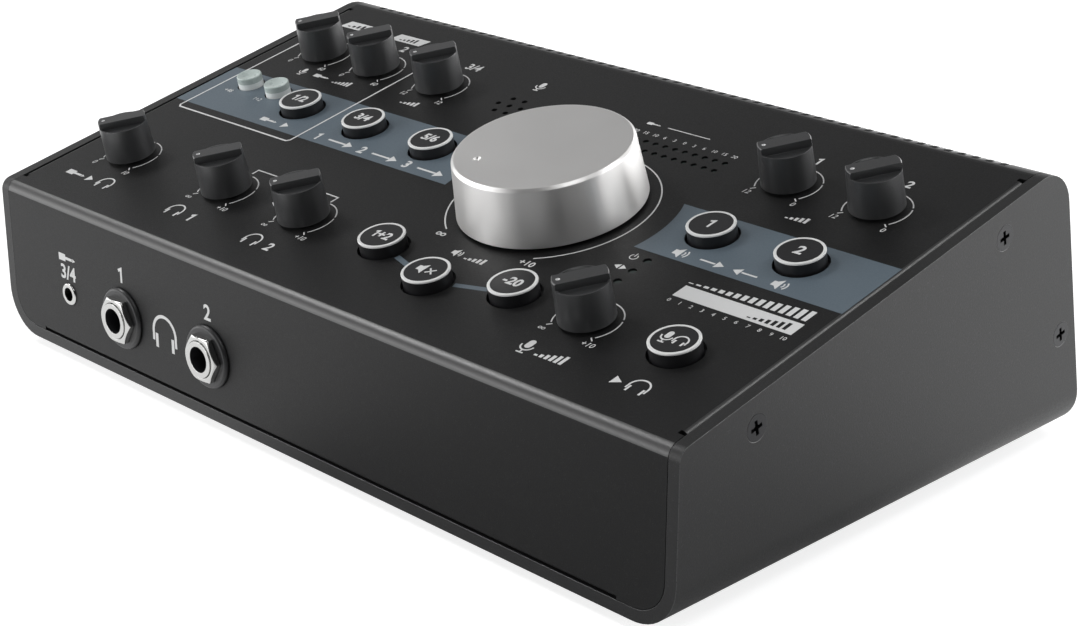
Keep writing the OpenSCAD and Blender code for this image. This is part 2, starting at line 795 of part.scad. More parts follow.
// Pot bodies on the control board, each with a round collar through the panel
module pot_bodies() {
    color("#8e9094") for (p = knob_places) on_top(p[0], p[1]) difference() {
        union() {
            translate([-pot_w / 2, -pot_w / 2, control_top])
                cube([pot_w, pot_w, pot_body_top - control_top]);
            translate([0, 0, pot_body_top - over])
                cylinder(h = over - pot_body_top - 0.2, r = pot_collar_r);
        }
        translate([0, 0, shaft_foot - 0.2]) cylinder(h = -shaft_foot + over, r = shaft_r + shaft_fit);
    }
}

module volume_pot() {
    color("#8e9094") on_top(place_volume[0], place_volume[1]) difference() {
        union() {
            translate([-volume_pot_w / 2, -volume_pot_front, control_top])
                cube([volume_pot_w, volume_pot_len, control_drop - panel_t]);
            translate([0, 0, -panel_t - over])
                cylinder(h = panel_t + over + volume_collar_top, r = volume_collar_r);
        }
        translate([0, 0, shaft_foot - 0.2])
            cylinder(h = volume_collar_top - shaft_foot + over, r = shaft_r + shaft_fit);
    }
}

// Washer and hexagon nut that hold the volume pot to the panel
module volume_pot_nut() {
    color("#c8c8c4") on_top(place_volume[0], place_volume[1]) difference() {
        union() {
            cylinder(h = volume_washer_t, r = volume_nut_af / 2 + 1);
            translate([0, 0, volume_washer_t])
                cylinder(h = volume_nut_t, r = volume_nut_af / sqrt(3), $fn = 6);
        }
        translate([0, 0, -over])
            cylinder(h = volume_nut_t + volume_washer_t + 2 * over, r = volume_collar_r + nose_fit);
    }
}

// A push switch on the control board, with a socket for the cap's stem
module push_switch(w, h) {
    difference() {
        translate([-w / 2, -w / 2, 0]) cube([w, w, h]);
        translate([0, 0, 0.8]) cylinder(h = h, r = stem_r + stem_fit);
    }
}

module switch_bodies() {
    color("#3a3a3c") {
        for (p = button_places) on_top(p[0], p[1], control_top) push_switch(switch_w, switch_h);
        for (p = latch_places) on_top(p[0], p[1], control_top) push_switch(latch_switch_w, latch_switch_h);
    }
}

// Light pipes from the control board up into the panel's holes
module light_pipes(places, hole_r) {
    for (p = places) on_top(p[0], p[1], control_top)
        cylinder(h = control_drop - 0.5, r = hole_r - light_fit);
}

module meter_lights() {
    color("#4c4f4c") light_pipes(meter_places, meter_r);
}

module status_lights() {
    color("#5a6660") light_pipes(status_places, status_r);
}

// Capsule in a soft boot between the board and the panel
module talkback_microphone() {
    boot_wall = 1;
    boot_gap = 0.1;
    dish = 0.8;
    tall = control_drop - panel_t - boot_gap;
    color("#202020") on_top(mic_place[0], mic_place[1], control_top) difference() {
        cylinder(h = tall, r = mic_r + boot_wall);
        translate([0, 0, tall - dish]) cylinder(h = dish + over, r = mic_r);
    }
}

// A phone jack on its panel: nose through the hole, body behind
module phone_jack() {
    difference() {
        union() {
            translate([-jack_w / 2, -jack_w / 2, -panel_t - jack_len]) cube([jack_w, jack_w, jack_len]);
            translate([0, 0, -panel_t - over]) cylinder(h = panel_t + over + nose_out, r = nose_r);
        }
        translate([0, 0, -panel_t - jack_len + jack_end])
            cylinder(h = panel_t + jack_len + nose_out, r = bore_r);
    }
}

module phone_jacks() {
    color("#26272a") for (x = phone_places) on_front(x, jack_z) phone_jack();
}

// Black collars under the front jacks' nuts
module jack_collars() {
    color("#1c1c1d") for (x = phone_places) on_front(x, jack_z) difference() {
        union() {
            cylinder(h = collar_t / 2, r = collar_r);
            translate([0, 0, collar_t / 2]) cylinder(h = collar_t / 2, r1 = collar_r, r2 = collar_r - 0.5);
        }
        translate([0, 0, -over]) cylinder(h = collar_t + 2 * over, r = nose_r + nose_fit);
    }
}

// A hexagon nut with a chamfered face
module jack_nut() {
    corner = nut_af / sqrt(3);
    difference() {
        intersection() {
            cylinder(h = nut_t, r = corner, $fn = 6);
            union() {
                cylinder(h = nut_t - 0.6, r = corner + over);
                translate([0, 0, nut_t - 0.6]) cylinder(h = 0.6, r1 = corner + 0.1, r2 = nut_af / 2 - 0.2);
            }
        }
        translate([0, 0, -over]) cylinder(h = nut_t + 2 * over, r = nose_r + nose_fit);
    }
}

module jack_nuts() {
    color("#d4d4d2") {
        for (x = phone_places) on_front(x, jack_z) translate([0, 0, collar_t]) jack_nut();
        for (x = line_places) on_rear(x, line_drop) jack_nut();
    }
}

module mini_jack() {
    color("#c9c9c7") on_front(mini_place, jack_z) difference() {
        union() {
            translate([-mini_w / 2, -jack_w / 2, -panel_t - mini_len])
                cube([mini_w, mini_w / 2 + jack_w / 2, mini_len]);
            translate([0, 0, -panel_t - over]) cylinder(h = panel_t + over + mini_out - 0.25, r = mini_r);
            translate([0, 0, mini_out - 0.25]) cylinder(h = 0.25, r1 = mini_r, r2 = mini_r - 0.25);
        }
        translate([0, 0, -panel_t - mini_len + mini_end])
            cylinder(h = panel_t + mini_len, r = mini_bore_r);
    }
}

module line_jacks() {
    color("#26272a") for (x = line_places) on_rear(x, line_drop) difference() {
        phone_jack();
        // The body's underside is cut level with the main board
        translate([-jack_w, main_under, -panel_t - jack_len - over])
            cube([2 * jack_w, over, jack_len + over]);
    }
}

// A combination socket: a ring for a round plug about a bore for a phone plug
module combo_sockets() {
    ring_in_r = 8;
    ring_out_r = 9.8;
    ring_depth = 14;
    pin_at = 5.6;
    pin_hole_r = 1.2;
    pin_depth = 12;
    color("#1b1b1c") for (x = combo_places) on_rear(x, -main_top - combo_w / 2) difference() {
        union() {
            translate([-combo_w / 2, -combo_w / 2, -panel_t - combo_len])
                cube([combo_w, combo_w, combo_len]);
            translate([0, 0, -panel_t - over]) cylinder(h = panel_t + over + combo_out, r = combo_r);
        }
        translate([0, 0, -ring_depth]) difference() {
            cylinder(h = ring_depth + combo_out + over, r = ring_out_r);
            translate([0, 0, -over]) cylinder(h = ring_depth + combo_out + 3 * over, r = ring_in_r);
        }
        for (a = [30, 150, 270]) rotate(a) translate([pin_at, 0, -pin_depth])
            cylinder(h = pin_depth + combo_out + over, r = pin_hole_r);
        translate([0, 0, -panel_t - combo_len + jack_end])
            cylinder(h = panel_t + combo_len + over, r = bore_r);
    }
}

// Square data socket with a tongue
module data_socket() {
    color("#c9c9c7") on_rear(data_place, -main_top - data_h / 2) translate([0, 0, -data_len]) {
        difference() {
            translate([-data_w / 2, -data_h / 2, 0]) cube([data_w, data_h, data_len + 0.3]);
            translate([-data_w / 2 + data_wall, -data_h / 2 + data_wall, 6])
                cube([data_w - 2 * data_wall, data_h - 2 * data_wall, data_len]);
        }
        translate([-data_w / 4, -data_h / 6, 6 - over]) cube([data_w / 2, data_h / 3, data_len - 6]);
    }
}

// Round low-voltage inlet with a centre pin
module power_inlet() {
    color("#1b1b1c") on_rear(inlet_place, -main_top - inlet_w / 2) translate([0, 0, -inlet_len]) {
        difference() {
            translate([-inlet_w / 2, -inlet_w / 2, 0]) cube([inlet_w, inlet_w, inlet_len]);
            translate([0, 0, 3]) cylinder(h = inlet_len, r = inlet_r);
        }
        translate([0, 0, 3 - over]) cylinder(h = inlet_len - 3, r = pin_r);
    }
}

// Body of the power switch, open to the rear for its button
module power_switch() {
    color("#3a3a3c") on_rear(power_place, -main_top - power_body_w / 2)
        translate([0, 0, -panel_t - power_body_len]) difference() {
            translate([-power_body_w / 2, -power_body_w / 2, 0])
                cube([power_body_w, power_body_w, power_body_len]);
            translate([-power_w / 2 - power_gap, -power_w / 2 - power_gap, 2])
                cube([power_w + 2 * power_gap, power_w + 2 * power_gap, power_body_len]);
        }
}

module power_button() {
    inside = panel_t + power_body_len - 2 - power_travel - 0.4;
    color("#151516") on_rear(power_place, -main_top - power_body_w / 2)
        translate([-power_w / 2, -power_w / 2, -inside]) cube([power_w, power_w, inside + power_out]);
}

// Big machined knob: a tapered cup with a boss for the shaft and a dimple for a pointer
module volume_knob() {
    boss_r = 8;
    boss_foot = volume_collar_top + 0.6;
    roof = volume_h - 3.2;
    color("#c4c3c1") on_top(place_volume[0], place_volume[1]) rotate(volume_rest) difference() {
        rotate_extrude($fn = 180) polygon([[0, volume_h], [volume_top_r - volume_chamfer, volume_h],
            [volume_top_r, volume_h - volume_chamfer], [volume_r, knob_gap],
            [volume_r - volume_wall, knob_gap], [volume_top_r - volume_wall, roof],
            [boss_r, roof], [boss_r, boss_foot], [0, boss_foot]]);
        shaft_hole(boss_foot - over, roof);
        translate([0, dimple_at, volume_h + dimple_r * 0.45]) sphere(dimple_r);
    }
}

// The hole for a shaft with a flat
module shaft_hole(from, to) {
    translate([0, 0, from]) difference() {
        cylinder(h = to - from, r = shaft_r + knob_fit);
        translate([-shaft_r * 2, shaft_flat + knob_fit, -over])
            cube([4 * shaft_r, shaft_r, to - from + 2 * over]);
    }
}

// A pot's shaft, with its flat in the knob
module pot_shaft(place, turn, flat_from, top) {
    color("#b9b9b4") on_top(place[0], place[1]) rotate(turn) difference() {
        translate([0, 0, shaft_foot]) cylinder(h = top - shaft_foot, r = shaft_r);
        translate([-shaft_r * 2, shaft_flat, flat_from])
            cube([4 * shaft_r, shaft_r, top - flat_from + over]);
    }
}

module volume_shaft() {
    pot_shaft(place_volume, volume_rest, volume_collar_top + 0.3, volume_h - 3.4);
}

// A tapered knob with a raised grip, a hollow on each side of it and a boss inside
module small_knob(place) {
    inner_r = knob_top_r - 1.1;
    boss_r = shaft_r + 1.3;
    color("#2c2d2f") on_top(place[0], place[1]) rotate(knob_rest) difference() {
        rotate_extrude($fn = 96) polygon([[0, knob_h], [knob_top_r - 0.2, knob_h],
            [knob_top_r, knob_h - 0.2], [knob_r, knob_gap], [inner_r, knob_gap], [inner_r, knob_roof],
            [boss_r, knob_roof], [boss_r, knob_gap], [0, knob_gap]]);
        shaft_hole(knob_gap - over, knob_roof + 0.2);
        for (side = [-1, 1]) mirror([side < 0 ? 1 : 0, 0, 0]) grip_hollow();
        translate([0, knob_dimple_at, knob_h + knob_dimple_r * 0.4]) sphere(knob_dimple_r);
    }
}

// The step beside a knob's grip and the hollow in it, with a curved floor that rises to the rim
module grip_hollow() {
    rim_h = knob_h - grip_rise;
    middle = knob_top_r - rim_w - sqrt(2 * hollow_r * hollow_depth);
    translate([grip_t / 2, -knob_r, rim_h]) cube([knob_r, 2 * knob_r, grip_rise + over]);
    intersection() {
        translate([0, 0, rim_h - hollow_r]) cylinder(h = hollow_r + over, r = knob_top_r - rim_w);
        translate([grip_t / 2, -knob_r, rim_h - hollow_r]) cube([knob_r, 2 * knob_r, hollow_r + over]);
        translate([middle, knob_r, rim_h - hollow_depth + hollow_r]) rotate([90, 0, 0])
            cylinder(h = 2 * knob_r, r = hollow_r);
    }
}

module small_shaft(place) {
    pot_shaft(place, knob_rest, knob_gap, knob_roof);
}

// A round button: cap, hidden flange and stem, with a groove for the light ring
module round_button(place) {
    ring_in = cap_r - ring_w;
    groove = 0.1;
    foot = -panel_t - flange_play;
    stem_foot = control_top + switch_h - stem_reach;
    color("#202123") on_top(place[0], place[1]) difference() {
        rotate_extrude() polygon([[0, cap_h], [ring_in, cap_h], [ring_in, cap_h - groove],
            [ring_in + groove, cap_h - groove], [ring_in + groove, cap_h], [cap_r - 0.25, cap_h],
            [cap_r, cap_h - 0.25], [cap_r, foot], [cap_flange_r, foot], [cap_flange_r, foot - flange_t],
            [stem_r, foot - flange_t], [stem_r, stem_foot], [0, stem_foot]]);
        translate([0, 0, foot - flange_t - over]) difference() {
            cylinder(h = flange_t + over + 2.4, r = cap_r - 1.1);
            translate([0, 0, -over]) cylinder(h = flange_t + 2 * over + 2.4, r = stem_r + 1);
        }
    }
}

// A small latching button with a dished top
module latch_button(place) {
    foot = -panel_t - flange_play;
    stem_foot = control_top + latch_switch_h - stem_reach;
    dish_r = (latch_r * latch_r / latch_dish + latch_dish) / 2;
    color("#dfe3e1") on_top(place[0], place[1]) difference() {
        rotate_extrude() polygon([[0, latch_h], [latch_r - 0.3, latch_h], [latch_r, latch_h - 0.3],
            [latch_r, foot], [latch_flange_r, foot], [latch_flange_r, foot - flange_t],
            [stem_r, foot - flange_t], [stem_r, stem_foot], [0, stem_foot]]);
        translate([0, 0, latch_h - latch_dish + dish_r]) sphere(dish_r);
    }
}

base_tray();
wrap_panel();
side_screws();
bottom_screws();
rubber_feet();
control_board();
main_board();
front_board();
panel_standoffs();
tray_standoffs();
board_spacers();
board_screws();
pot_bodies();
volume_pot();
volume_pot_nut();
switch_bodies();
meter_lights();
status_lights();
talkback_microphone();
phone_jacks();
jack_collars();
jack_nuts();
mini_jack();
line_jacks();
combo_sockets();
data_socket();
power_inlet();
power_switch();
power_button();
volume_knob();
volume_shaft();
small_knob(place_gain_1);  // knob_gain_1
small_knob(place_gain_2);  // knob_gain_2
small_knob(place_source_trim);  // knob_source_trim
small_knob(place_direct);  // knob_direct
small_knob(place_phones_1);  // knob_phones_1
small_knob(place_phones_2);  // knob_phones_2
small_knob(place_trim_a);  // knob_trim_a
small_knob(place_trim_b);  // knob_trim_b
small_knob(place_talkback);  // knob_talkback
small_shaft(place_gain_1);  // shaft_gain_1
small_shaft(place_gain_2);  // shaft_gain_2
small_shaft(place_source_trim);  // shaft_source_trim
small_shaft(place_direct);  // shaft_direct
small_shaft(place_phones_1);  // shaft_phones_1
small_shaft(place_phones_2);  // shaft_phones_2
small_shaft(place_trim_a);  // shaft_trim_a
small_shaft(place_trim_b);  // shaft_trim_b
small_shaft(place_talkback);  // shaft_talkback
round_button(place_source_1);  // button_source_1
round_button(place_source_2);  // button_source_2
round_button(place_source_3);  // button_source_3
round_button(place_mono);  // button_mono
round_button(place_mute);  // button_mute
round_button(place_dim);  // button_dim
round_button(place_out_a);  // button_out_a
round_button(place_out_b);  // button_out_b
round_button(place_cue);  // button_cue
latch_button(latch_places[0]);  // latch_button_1
latch_button(latch_places[1]);  // latch_button_2
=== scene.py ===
"""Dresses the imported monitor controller: coated case, knobs, ringed buttons, jacks and print."""

import json
import math

import bpy
from mathutils import Matrix, Vector


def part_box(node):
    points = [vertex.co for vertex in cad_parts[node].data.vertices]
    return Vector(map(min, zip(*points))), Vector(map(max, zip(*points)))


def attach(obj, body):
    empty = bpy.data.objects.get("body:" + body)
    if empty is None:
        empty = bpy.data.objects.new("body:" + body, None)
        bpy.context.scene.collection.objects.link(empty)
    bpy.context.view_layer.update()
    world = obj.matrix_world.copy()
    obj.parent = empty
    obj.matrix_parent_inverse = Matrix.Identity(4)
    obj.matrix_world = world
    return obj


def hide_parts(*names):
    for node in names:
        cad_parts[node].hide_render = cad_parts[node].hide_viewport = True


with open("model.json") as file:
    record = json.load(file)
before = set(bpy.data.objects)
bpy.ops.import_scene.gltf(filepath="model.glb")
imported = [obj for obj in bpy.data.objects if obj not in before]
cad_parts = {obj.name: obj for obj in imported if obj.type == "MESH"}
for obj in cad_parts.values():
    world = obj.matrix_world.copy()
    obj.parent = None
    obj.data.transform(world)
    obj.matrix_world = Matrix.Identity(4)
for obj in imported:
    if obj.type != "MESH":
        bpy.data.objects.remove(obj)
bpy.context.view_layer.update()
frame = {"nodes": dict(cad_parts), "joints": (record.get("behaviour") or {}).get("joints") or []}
nodes = frame["nodes"]
joints = {joint["name"]: joint for joint in frame["joints"]}
mm = 0.001

# ---------------------------------------------------------------------------------------------
# Camera. It stands to the front right of the case and a little above it, with a long lens, at
# the place that was worked out from the case's own edges.
# ---------------------------------------------------------------------------------------------

camera_data = bpy.data.cameras.new("camera")
camera_data.lens = 72.35
camera_data.sensor_width = 36
camera = bpy.data.objects.new("camera", camera_data)
camera.location = (368.4 * mm, -357.2 * mm, 217.4 * mm)
camera.rotation_euler = [math.radians(angle) for angle in (68.937, -0.23, 45.188)]
bpy.context.scene.collection.objects.link(camera)
bpy.context.scene.camera = camera

# ---------------------------------------------------------------------------------------------
# Studio. The case stands on a white sweep that runs out into a bright low backdrop, with a dim
# room above it and behind the camera. White walls stand left and right, and soft boxes hang above.
# ---------------------------------------------------------------------------------------------


def add_node(tree, kind, **settings):
    """A new shader node, with its settings and the values of its named inputs."""
    node = tree.nodes.new(kind)
    for name, value in settings.items():
        if hasattr(node, name):
            setattr(node, name, value)
        else:
            node.inputs[name.replace("_", " ")].default_value = value
    return node


def combined(tree, operation, *values):
    """A math node on other nodes' outputs and plain numbers; gives its own output."""
    node = add_node(tree, "ShaderNodeMath", operation=operation)
    for socket, value in zip(node.inputs, values):
        if isinstance(value, float):
            socket.default_value = value
        else:
            tree.links.new(value, socket)
    return node.outputs[0]


def soft_step(tree, value, low, high, first, last):
    """Eases from the first number, where a value is below low, to the last, above high."""
    step = add_node(tree, "ShaderNodeMapRange", interpolation_type="SMOOTHSTEP", From_Min=low,
                    From_Max=high, To_Min=first, To_Max=last)
    tree.links.new(value, step.inputs["Value"])
    return step.outputs["Result"]


def facing(tree, direction, way):
    """How far a direction points one way, as their dot product."""
    along = add_node(tree, "ShaderNodeVectorMath", operation="DOT_PRODUCT")
    along.inputs[1].default_value = way
    tree.links.new(direction, along.inputs[0])
    return along.outputs["Value"]


def seen_directly(tree):
    """A value that is 1 for the camera and for what metal and glass mirror, and else 0."""
    path = add_node(tree, "ShaderNodeLightPath")
    mirrored = combined(tree, "MAXIMUM", path.outputs["Is Glossy Ray"],
                        path.outputs["Is Transmission Ray"])
    return combined(tree, "MAXIMUM", path.outputs["Is Camera Ray"], mirrored)


def flag_group():
    """A black flag round the camera, as a mask: 1 on the other sides and nearly 0 towards it."""
    group = bpy.data.node_groups.new("camera_flag", "ShaderNodeTree")
    group.interface.new_socket("Direction", in_out="INPUT", socket_type="NodeSocketVector")
    group.interface.new_socket("Open", in_out="OUTPUT", socket_type="NodeSocketFloat")
    given = add_node(group, "NodeGroupInput")
    result = add_node(group, "NodeGroupOutput")
    unit = add_node(group, "ShaderNodeVectorMath", operation="NORMALIZE")
    group.links.new(given.outputs[0], unit.inputs[0])
    towards = facing(group, unit.outputs[0], camera.location.xy.normalized().to_3d())
    group.links.new(soft_step(group, towards, 0.3, 0.8, 1.0, 0.04), result.inputs[0])
    return group


camera_flag = flag_group()


def unflagged(tree, direction):
    """The camera flag's mask for a direction; the flag itself never shows to the camera."""
    flag = add_node(tree, "ShaderNodeGroup", node_tree=camera_flag)
    path = add_node(tree, "ShaderNodeLightPath")
    tree.links.new(direction, flag.inputs[0])
    return combined(tree, "MAXIMUM", flag.outputs[0], path.outputs["Is Camera Ray"])


sweep_radius = 4
sweep_glow = 0.76


def sweep_white():
    """White card: it takes the object's soft shadow, and never falls to grey elsewhere."""
    material = bpy.data.materials.new("sweep_white")
    material.use_nodes = True
    tree = material.node_tree
    tree.nodes.clear()
    card = add_node(tree, "ShaderNodeBsdfDiffuse", Color=(0.5, 0.5, 0.5, 1))
    glow = add_node(tree, "ShaderNodeEmission", Color=(1, 1, 1, 1))
    both = add_node(tree, "ShaderNodeAddShader")
    output = add_node(tree, "ShaderNodeOutputMaterial")
    place = add_node(tree, "ShaderNodeTexCoord")
    level = combined(tree, "MULTIPLY", unflagged(tree, place.outputs["Object"]), sweep_glow)
    level = combined(tree, "MULTIPLY", level, seen_directly(tree))
    tree.links.new(level, glow.inputs["Strength"])
    tree.links.new(card.outputs[0], both.inputs[0])
    tree.links.new(glow.outputs[0], both.inputs[1])
    tree.links.new(both.outputs[0], output.inputs["Surface"])
    return material


bpy.ops.object.select_all(action="DESELECT")
bpy.ops.mesh.primitive_circle_add(vertices=96, radius=sweep_radius, fill_type="NGON")
sweep = bpy.context.object
sweep.name = "sweep"
sweep.data.materials.append(sweep_white())


def soft_box(name, place, aim, width, height, power, mirrored=True):
    """A rectangular lamp that faces a point; metal may mirror the white wall round it instead."""
    light = bpy.data.lights.new(name, "AREA")
    light.shape = "RECTANGLE"
    light.size = width
    light.size_y = height
    light.energy = power
    lamp = bpy.data.objects.new(name, light)
    lamp.location = place
    lamp.rotation_euler = (Vector(place) - Vector(aim)).to_track_quat("Z", "Y").to_euler()
    lamp.visible_glossy = mirrored
    bpy.context.scene.collection.objects.link(lamp)


middle = (0, 0, 0.04)
left_way = Vector((-0.69, -0.72, 0))
right_way = Vector((0.44, 0.9, 0))
left_place = left_way * 1.5 + Vector((0, 0, 0.3))
right_place = right_way * 1.5 + Vector((0, 0, 0.32))
soft_box("left_wall", left_place, middle, 2.2, 0.5, 25, mirrored=False)
soft_box("right_wall", right_place, middle, 2.5, 0.58, 34, mirrored=False)
soft_box("bend_box", (-1.21, -0.32, 1.33), middle, 0.7, 0.4, 9)
soft_box("edge_box", (0.76, 0.69, 1.23), middle, 0.3, 0.3, 3.5)
soft_box("top_box", (0.3, -0.1, 1.7), middle, 1.2, 0.8, 3.5)
soft_box("rim_box", (0.8, -0.37, 1.25), middle, 0.5, 0.4, 2.5)

world = bpy.data.worlds.new("studio")
bpy.context.scene.world = world
world.use_nodes = True
room = world.node_tree
room.nodes.clear()
direction = add_node(room, "ShaderNodeTexCoord").outputs["Generated"]
split = add_node(room, "ShaderNodeSeparateXYZ")
room.links.new(direction, split.inputs[0])
height = split.outputs["Z"]
low_backdrop = soft_step(room, height, 0.22, 0.5, 1.0, 0.2)

# Both walls are brightest at their foot and end overhead, and the right one stands nearer
wall_foot = soft_step(room, height, 0.1, 0.42, 3.3, 0.62)
wall_top = soft_step(room, height, 0.5, 0.8, 1.0, 0.0)
left_wall = soft_step(room, facing(room, direction, left_way), 0.5, 0.85, 0.0, 1.0)
right_wall = soft_step(room, facing(room, direction, right_way), 0.5, 0.85, 0.0, 1.6)
wall_height = combined(room, "MULTIPLY", wall_foot, wall_top)
walls = combined(room, "MULTIPLY", combined(room, "ADD", left_wall, right_wall), wall_height)
white = combined(room, "MAXIMUM", low_backdrop, walls)
level = combined(room, "MULTIPLY", white, unflagged(room, direction))
backdrop = add_node(room, "ShaderNodeBackground", Color=(1, 1, 1, 1))
dim_room = add_node(room, "ShaderNodeBackground", Color=(0.93, 0.96, 1, 1), Strength=0.2)
choose = add_node(room, "ShaderNodeMixShader")
room_output = add_node(room, "ShaderNodeOutputWorld")
room.links.new(level, backdrop.inputs["Strength"])
room.links.new(seen_directly(room), choose.inputs[0])
room.links.new(dim_room.outputs[0], choose.inputs[1])
room.links.new(backdrop.outputs[0], choose.inputs[2])
room.links.new(choose.outputs[0], room_output.inputs["Surface"])

bpy.context.scene.view_settings.view_transform = "Standard"

# ---------------------------------------------------------------------------------------------
# Base tray. The bottom and both side plates are one piece of 3 mm steel, bent up at the sides
# and covered with a nearly black powder coat that has a fine orange-peel grain.
# ---------------------------------------------------------------------------------------------


def coat_group():
    """Powder coat: a fine bumpy skin, with paler grains that catch the light."""
    group = bpy.data.node_groups.new("powder_coat", "ShaderNodeTree")
    sockets = group.interface
    sockets.new_socket("Grain", in_out="INPUT", socket_type="NodeSocketFloat")
    sockets.new_socket("Colour", in_out="INPUT", socket_type="NodeSocketColor")
    sockets.new_socket("Speck", in_out="INPUT", socket_type="NodeSocketColor")
    sockets.new_socket("Colour", in_out="OUTPUT", socket_type="NodeSocketColor")
    sockets.new_socket("Height", in_out="OUTPUT", socket_type="NodeSocketFloat")
    sockets.new_socket("Roughness", in_out="OUTPUT", socket_type="NodeSocketFloat")
    given = add_node(group, "NodeGroupInput")
    result = add_node(group, "NodeGroupOutput")
    place = add_node(group, "ShaderNodeTexCoord")
    peel = add_node(group, "ShaderNodeTexNoise", Detail=3.0, Roughness=0.6)
    grains = add_node(group, "ShaderNodeTexVoronoi", feature="F1")
    near = add_node(group, "ShaderNodeMapRange", From_Min=0.3, From_Max=0.12)
    patches = add_node(group, "ShaderNodeTexNoise", Scale=700.0, Detail=1.0)
    chosen = add_node(group, "ShaderNodeMapRange", From_Min=0.5, From_Max=0.62)
    both = add_node(group, "ShaderNodeMath", operation="MULTIPLY")
    tint = add_node(group, "ShaderNodeMix", data_type="RGBA")
    sheen = add_node(group, "ShaderNodeMapRange", From_Min=0.3, From_Max=0.7, To_Min=0.4,
                     To_Max=0.54)
    link = group.links.new
    for texture in (peel, grains, patches):
        link(place.outputs["Object"], texture.inputs["Vector"])
    link(given.outputs["Grain"], peel.inputs["Scale"])
    link(given.outputs["Grain"], grains.inputs["Scale"])
    link(grains.outputs["Distance"], near.inputs["Value"])
    link(patches.outputs["Fac"], chosen.inputs["Value"])
    link(near.outputs["Result"], both.inputs[0])
    link(chosen.outputs["Result"], both.inputs[1])
    link(both.outputs[0], tint.inputs["Factor"])
    link(given.outputs["Colour"], tint.inputs["A"])
    link(given.outputs["Speck"], tint.inputs["B"])
    link(peel.outputs["Fac"], sheen.inputs["Value"])
    link(tint.outputs["Result"], result.inputs["Colour"])
    link(peel.outputs["Fac"], result.inputs["Height"])
    link(sheen.outputs["Result"], result.inputs["Roughness"])
    return group


powder_coat = coat_group()


def new_finish(name):
    """A new material on the standard surface shader: the material, its nodes and the shader."""
    material = bpy.data.materials.new(name)
    material.use_nodes = True
    return material, material.node_tree, material.node_tree.nodes["Principled BSDF"]


def bumped(tree, height, depth):
    """Makes a finish uneven: a height of 1 stands proud of 0 by the depth."""
    bump = add_node(tree, "ShaderNodeBump", Strength=1.0, Distance=depth)
    tree.links.new(height, bump.inputs["Height"])
    tree.links.new(bump.outputs["Normal"], tree.nodes["Principled BSDF"].inputs["Normal"])


def coated(name, colour, speck, grain, depth, gloss):
    """A powder-coated metal, from the coat's colour, roughness and height."""
    material, tree, surface = new_finish(name)
    surface.inputs["Specular IOR Level"].default_value = gloss
    coat = add_node(tree, "ShaderNodeGroup", node_tree=powder_coat)
    coat.inputs["Grain"].default_value = grain
    coat.inputs["Colour"].default_value = (*colour, 1)
    coat.inputs["Speck"].default_value = (*speck, 1)
    tree.links.new(coat.outputs["Colour"], surface.inputs["Base Color"])
    tree.links.new(coat.outputs["Roughness"], surface.inputs["Roughness"])
    bumped(tree, coat.outputs["Height"], depth)
    return material


weld = 0.002 * mm
flat_angle = math.radians(0.4)
smooth_angle = math.radians(30)


def alone(piece):
    """Selects one piece and nothing else."""
    bpy.ops.object.select_all(action="DESELECT")
    piece.select_set(True)
    bpy.context.view_layer.objects.active = piece


def smoothed(piece):
    """Shades the curved faces of a piece smooth and keeps its flat faces flat."""
    alone(piece)
    bpy.ops.object.shade_smooth_by_angle(angle=smooth_angle)
    flat = piece.modifiers.new("flat", "WEIGHTED_NORMAL")
    flat.weight = 100
    flat.keep_sharp = True
    bpy.ops.object.modifier_apply(modifier="flat")
    return piece


def rounded(piece, width, segments=2, edge_slot=-1):
    """Rounds the sharp edges of a piece, in a slot of their own if asked, and smooths it."""
    alone(piece)
    while len(piece.data.materials) <= edge_slot:
        piece.data.materials.append(None)
    edge = piece.modifiers.new("edge", "BEVEL")
    edge.material = edge_slot
    edge.width = width
    edge.segments = segments
    edge.limit_method = "ANGLE"
    edge.angle_limit = smooth_angle
    edge.miter_outer = "MITER_ARC"
    bpy.ops.object.modifier_apply(modifier="edge")
    return smoothed(piece)


def copied(node):
    """A copy of a CAD node's mesh with its loose triangles joined into whole faces."""
    piece = bpy.data.objects.new(node + "_finished", nodes[node].data.copy())
    piece.data.name = piece.name
    bpy.context.scene.collection.objects.link(piece)
    alone(piece)
    bpy.ops.object.mode_set(mode="EDIT")
    bpy.ops.mesh.select_all(action="SELECT")
    bpy.ops.mesh.remove_doubles(threshold=weld)
    bpy.ops.mesh.dissolve_limited(angle_limit=flat_angle)
    bpy.ops.object.mode_set(mode="OBJECT")
    return piece


def fit(piece, body, slot, materials, *replaced):
    """Gives a finished piece its materials and its body, and hides the CAD nodes it replaces; the
    slot is not used.
    """
    materials = materials if isinstance(materials, tuple) else (materials,)
    slots = piece.data.materials
    while len(slots) < len(materials):
        slots.append(None)
    while len(slots) > len(materials):
        slots.pop()
    for index, material in enumerate(materials):
        slots[index] = material
    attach(piece, body)
    if replaced:
        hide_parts(*replaced)
    return piece


def dressed(node, body, slot, materials, width, segments=2, edge_slot=-1):
    """Puts a rounded copy of a CAD node in its place, with its finish."""
    piece = rounded(copied(node), width, segments, edge_slot)
    return fit(piece, body, slot, materials, node)


